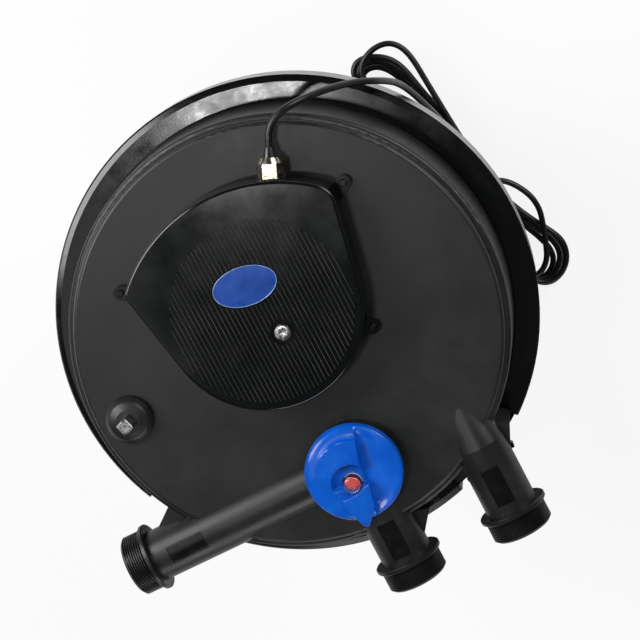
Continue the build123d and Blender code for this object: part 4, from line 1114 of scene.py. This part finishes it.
@dataclass
class LabelPlate:
    """A bare, bent plate that lies in the recess on top of a port tube."""

    name: str
    middle: Point
    along: Vector
    length: float = 37.0
    width: float = 17.4
    floor: float = 24.12
    thick: float = 0.5
    columns: int = 24
    rows: int = 2

    def build(self, paints: Paintbox) -> bpy.types.Object:
        """Bends the plate to the tube and lays it in its recess.

        Args:
            paints: where its material comes from.

        Returns:
            The plate.
        """
        columns, rows = self.columns, self.rows
        mesh = bmesh.new()
        spread = math.asin(self.width / 2 / self.floor)
        layers = []
        for r in (self.floor, self.floor + self.thick):
            grid = []
            for i in range(columns + 1):
                a = spread * (2 * i / columns - 1)
                line = []
                for k in range(rows + 1):
                    corner = (r * math.cos(a), r * math.sin(a), self.length * (k / rows - 0.5))
                    line.append(mesh.verts.new(Vector(corner) * MM))
                grid.append(line)
            layers.append(grid)
        low, top = layers
        for i in range(columns):
            for k in range(rows):
                mesh.faces.new((top[i][k], top[i + 1][k], top[i + 1][k + 1], top[i][k + 1]))
                mesh.faces.new((low[i][k], low[i][k + 1], low[i + 1][k + 1], low[i + 1][k]))
            for k in (0, rows):
                mesh.faces.new((low[i][k], low[i + 1][k], top[i + 1][k], top[i][k]))
        for k in range(rows):
            for i in (0, columns):
                mesh.faces.new((low[i][k], top[i][k], top[i][k + 1], low[i][k + 1]))
        piece = from_bmesh(self.name, mesh)
        smooth(piece, 30)
        settle(piece, frame_from(self.middle, self.along, Vector((0, 0, 1))))
        paints.paint(piece, PANEL_SKIN)
        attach(piece, "filter")
        LOG.info("label plate %s", self.name)
        return piece


@dataclass(frozen=True)
class Lamp:
    """A soft box: its place and aim in millimetres, its size in metres and its power in watts."""

    name: str
    place: Point
    aim: Point
    size: tuple[float, float]
    power: float
    turn: float = 0.0

    def hang(self) -> None:
        """Adds the lamp to the scene."""
        data = bpy.data.lights.new(self.name, "AREA")
        data.shape = "RECTANGLE"
        data.size, data.size_y = self.size
        data.energy = self.power
        lamp = bpy.data.objects.new(self.name, data)
        bpy.context.scene.collection.objects.link(lamp)
        down = (Vector(self.aim) - Vector(self.place)).normalized()
        turn = math.radians(self.turn)
        long_side = Vector((math.cos(turn), math.sin(turn), 0))
        lamp.matrix_world = frame_from(self.place, -down, long_side)


@dataclass
class Studio:
    """Floor, lamps, world and the photograph's camera."""

    eye: Point = (366.04, 294.59, 2303.88)
    right: Point = (0.88263, -0.46242, -0.08443)
    down: Point = (-0.43665, -0.87307, 0.21697)
    look: Point = (-0.17404, -0.15464, -0.97252)
    focal_px: float = 2058.33
    frame_px: float = 640.0
    sensor: float = 36.0
    clip: Place = (0.05, 50.0)
    room_light: float = 0.1
    floor_size: float = 14.0
    floor_drop: float = 0.0005
    floor_glow: float = 0.86
    paper_patch: float = 3.0
    paper_tones: tuple[tuple[float, str], ...] = ((0.2, "f2f2f2"), (0.8, "f6f6f6"))
    lamps: tuple[Lamp, ...] = (
        Lamp(
            "key", (-1400.0, 1500.0, 2000.0), (0.0, 0.0, 400.0),
            size=(1.5, 1.3), power=58.0,
        ),
        Lamp(
            "ring_strip", (-228.0, 124.0, 2150.0), (60.0, 215.0, 375.0),
            size=(0.24, 0.05), power=2.5, turn=172.0,
        ),
        Lamp(
            "left_panel", (-1000.0, 150.0, 2150.0), (-150.0, 50.0, 400.0),
            size=(0.9, 1.1), power=2.2,
        ),
        Lamp(
            "side", (1800.0, 900.0, 1600.0), (0.0, 0.0, 400.0),
            size=(1.4, 1.2), power=26.0,
        ),
        Lamp(
            "front", (-300.0, -2100.0, 1300.0), (0.0, 0.0, 300.0),
            size=(1.6, 0.9), power=14.0,
        ),
    )

    def camera(self) -> None:
        """Places the camera that took the photograph."""
        data = bpy.data.cameras.new("camera")
        data.sensor_width = self.sensor
        data.lens = self.sensor * self.focal_px / self.frame_px
        data.clip_start, data.clip_end = self.clip
        camera = bpy.data.objects.new("camera", data)
        bpy.context.scene.collection.objects.link(camera)
        axes = Matrix((Vector(self.right), -Vector(self.down), -Vector(self.look))).transposed()
        camera.matrix_world = Matrix.Translation(Vector(self.eye) * MM) @ axes.to_4x4()
        bpy.context.scene.camera = camera

    def world(self) -> None:
        """A white background for the lens, and a soft dim room for the light."""
        world = bpy.data.worlds.new("room")
        world.use_nodes = True
        tree = world.node_tree
        tree.nodes.clear()
        path = add_node(tree, "ShaderNodeLightPath")
        white = {"Color": linear("ffffff"), "Strength": 1.0}
        seen = add_node(tree, "ShaderNodeBackground", white)
        dim = {"Color": linear("eef1f4"), "Strength": self.room_light}
        room = add_node(tree, "ShaderNodeBackground", dim)
        either = add_node(tree, "ShaderNodeMath", {"operation": "MAXIMUM"})
        tree.links.new(path.outputs["Is Camera Ray"], either.inputs[0])
        tree.links.new(path.outputs["Is Transmission Ray"], either.inputs[1])
        mix = add_node(tree, "ShaderNodeMixShader", links={"Fac": either.outputs["Value"]})
        tree.links.new(room.outputs["Background"], mix.inputs[1])
        tree.links.new(seen.outputs["Background"], mix.inputs[2])
        add_node(tree, "ShaderNodeOutputWorld", links={"Surface": mix.outputs["Shader"]})
        bpy.context.scene.world = world

    def floor(self) -> None:
        """A plain pale floor that keeps the object's soft shadow."""
        deselect()
        bpy.ops.mesh.primitive_plane_add(size=self.floor_size, location=(0, 0, -self.floor_drop))
        floor = bpy.context.object
        floor.name = "floor"
        material = bpy.data.materials.new("White paper sweep")
        material.use_nodes = True
        tree = material.node_tree
        tree.nodes.clear()
        place = add_node(tree, "ShaderNodeTexCoord").outputs["Object"]
        patches = {"Scale": self.paper_patch}
        tone = add_node(tree, "ShaderNodeTexNoise", patches, {"Vector": place}).outputs["Fac"]
        colour = ramp(tree, tone, self.paper_tones)
        paper = add_node(tree, "ShaderNodeBsdfDiffuse", links={"Color": colour})
        white = {"Color": linear("ffffff"), "Strength": 1.0}
        glow = add_node(tree, "ShaderNodeEmission", white)
        path = add_node(tree, "ShaderNodeLightPath")
        share = add_node(tree, "ShaderNodeMath", {"operation": "MULTIPLY"})
        tree.links.new(path.outputs["Is Camera Ray"], share.inputs[0])
        share.inputs[1].default_value = self.floor_glow
        mix = add_node(tree, "ShaderNodeMixShader", links={"Fac": share.outputs["Value"]})
        tree.links.new(paper.outputs["BSDF"], mix.inputs[1])
        tree.links.new(glow.outputs["Emission"], mix.inputs[2])
        add_node(tree, "ShaderNodeOutputMaterial", links={"Surface": mix.outputs["Shader"]})
        floor.data.materials.append(material)

    def light(self) -> None:
        """Hangs the soft boxes."""
        for lamp in self.lamps:
            lamp.hang()

    def build(self) -> None:
        """Sets up the whole studio."""
        bpy.context.scene.view_settings.view_transform = "Standard"
        self.camera()
        self.world()
        self.floor()
        self.light()
        LOG.info("studio")


def main() -> None:
    """Builds every sub-assembly in order."""
    logging.basicConfig(level=logging.INFO, format="%(name)s: %(message)s")
    paints = Paintbox()
    paints.paint_nodes()
    Studio().build()
    CordRoute().build(paints)
    for port in (
        HosePort("long_port_end", "inlet_fitting", (-216.5, -138.3, 436.0), Vector((-1, 0, 0))),
        HosePort("middle_port_end", "bypass_fitting", (0.0, -242.5, 436.0), Vector((0, -1, 0))),
        HosePort("right_port_end", "outlet_fitting", (111.0, -242.5, 436.0), Vector((0, -1, 0))),
    ):
        port.build(paints)
    Dial().build(paints)
    CoverTrim().build(paints)
    for plate in (
        LabelPlate("long_label_plate", (-180.0, -138.3, 436.0), Vector((-1, 0, 0))),
        LabelPlate("middle_label_plate", (0.0, -218.0, 436.0), Vector((0, -1, 0))),
        LabelPlate("right_label_plate", (111.0, -214.0, 436.0), Vector((0, -1, 0))),
    ):
        plate.build(paints)


if __name__ == "__main__":
    main()
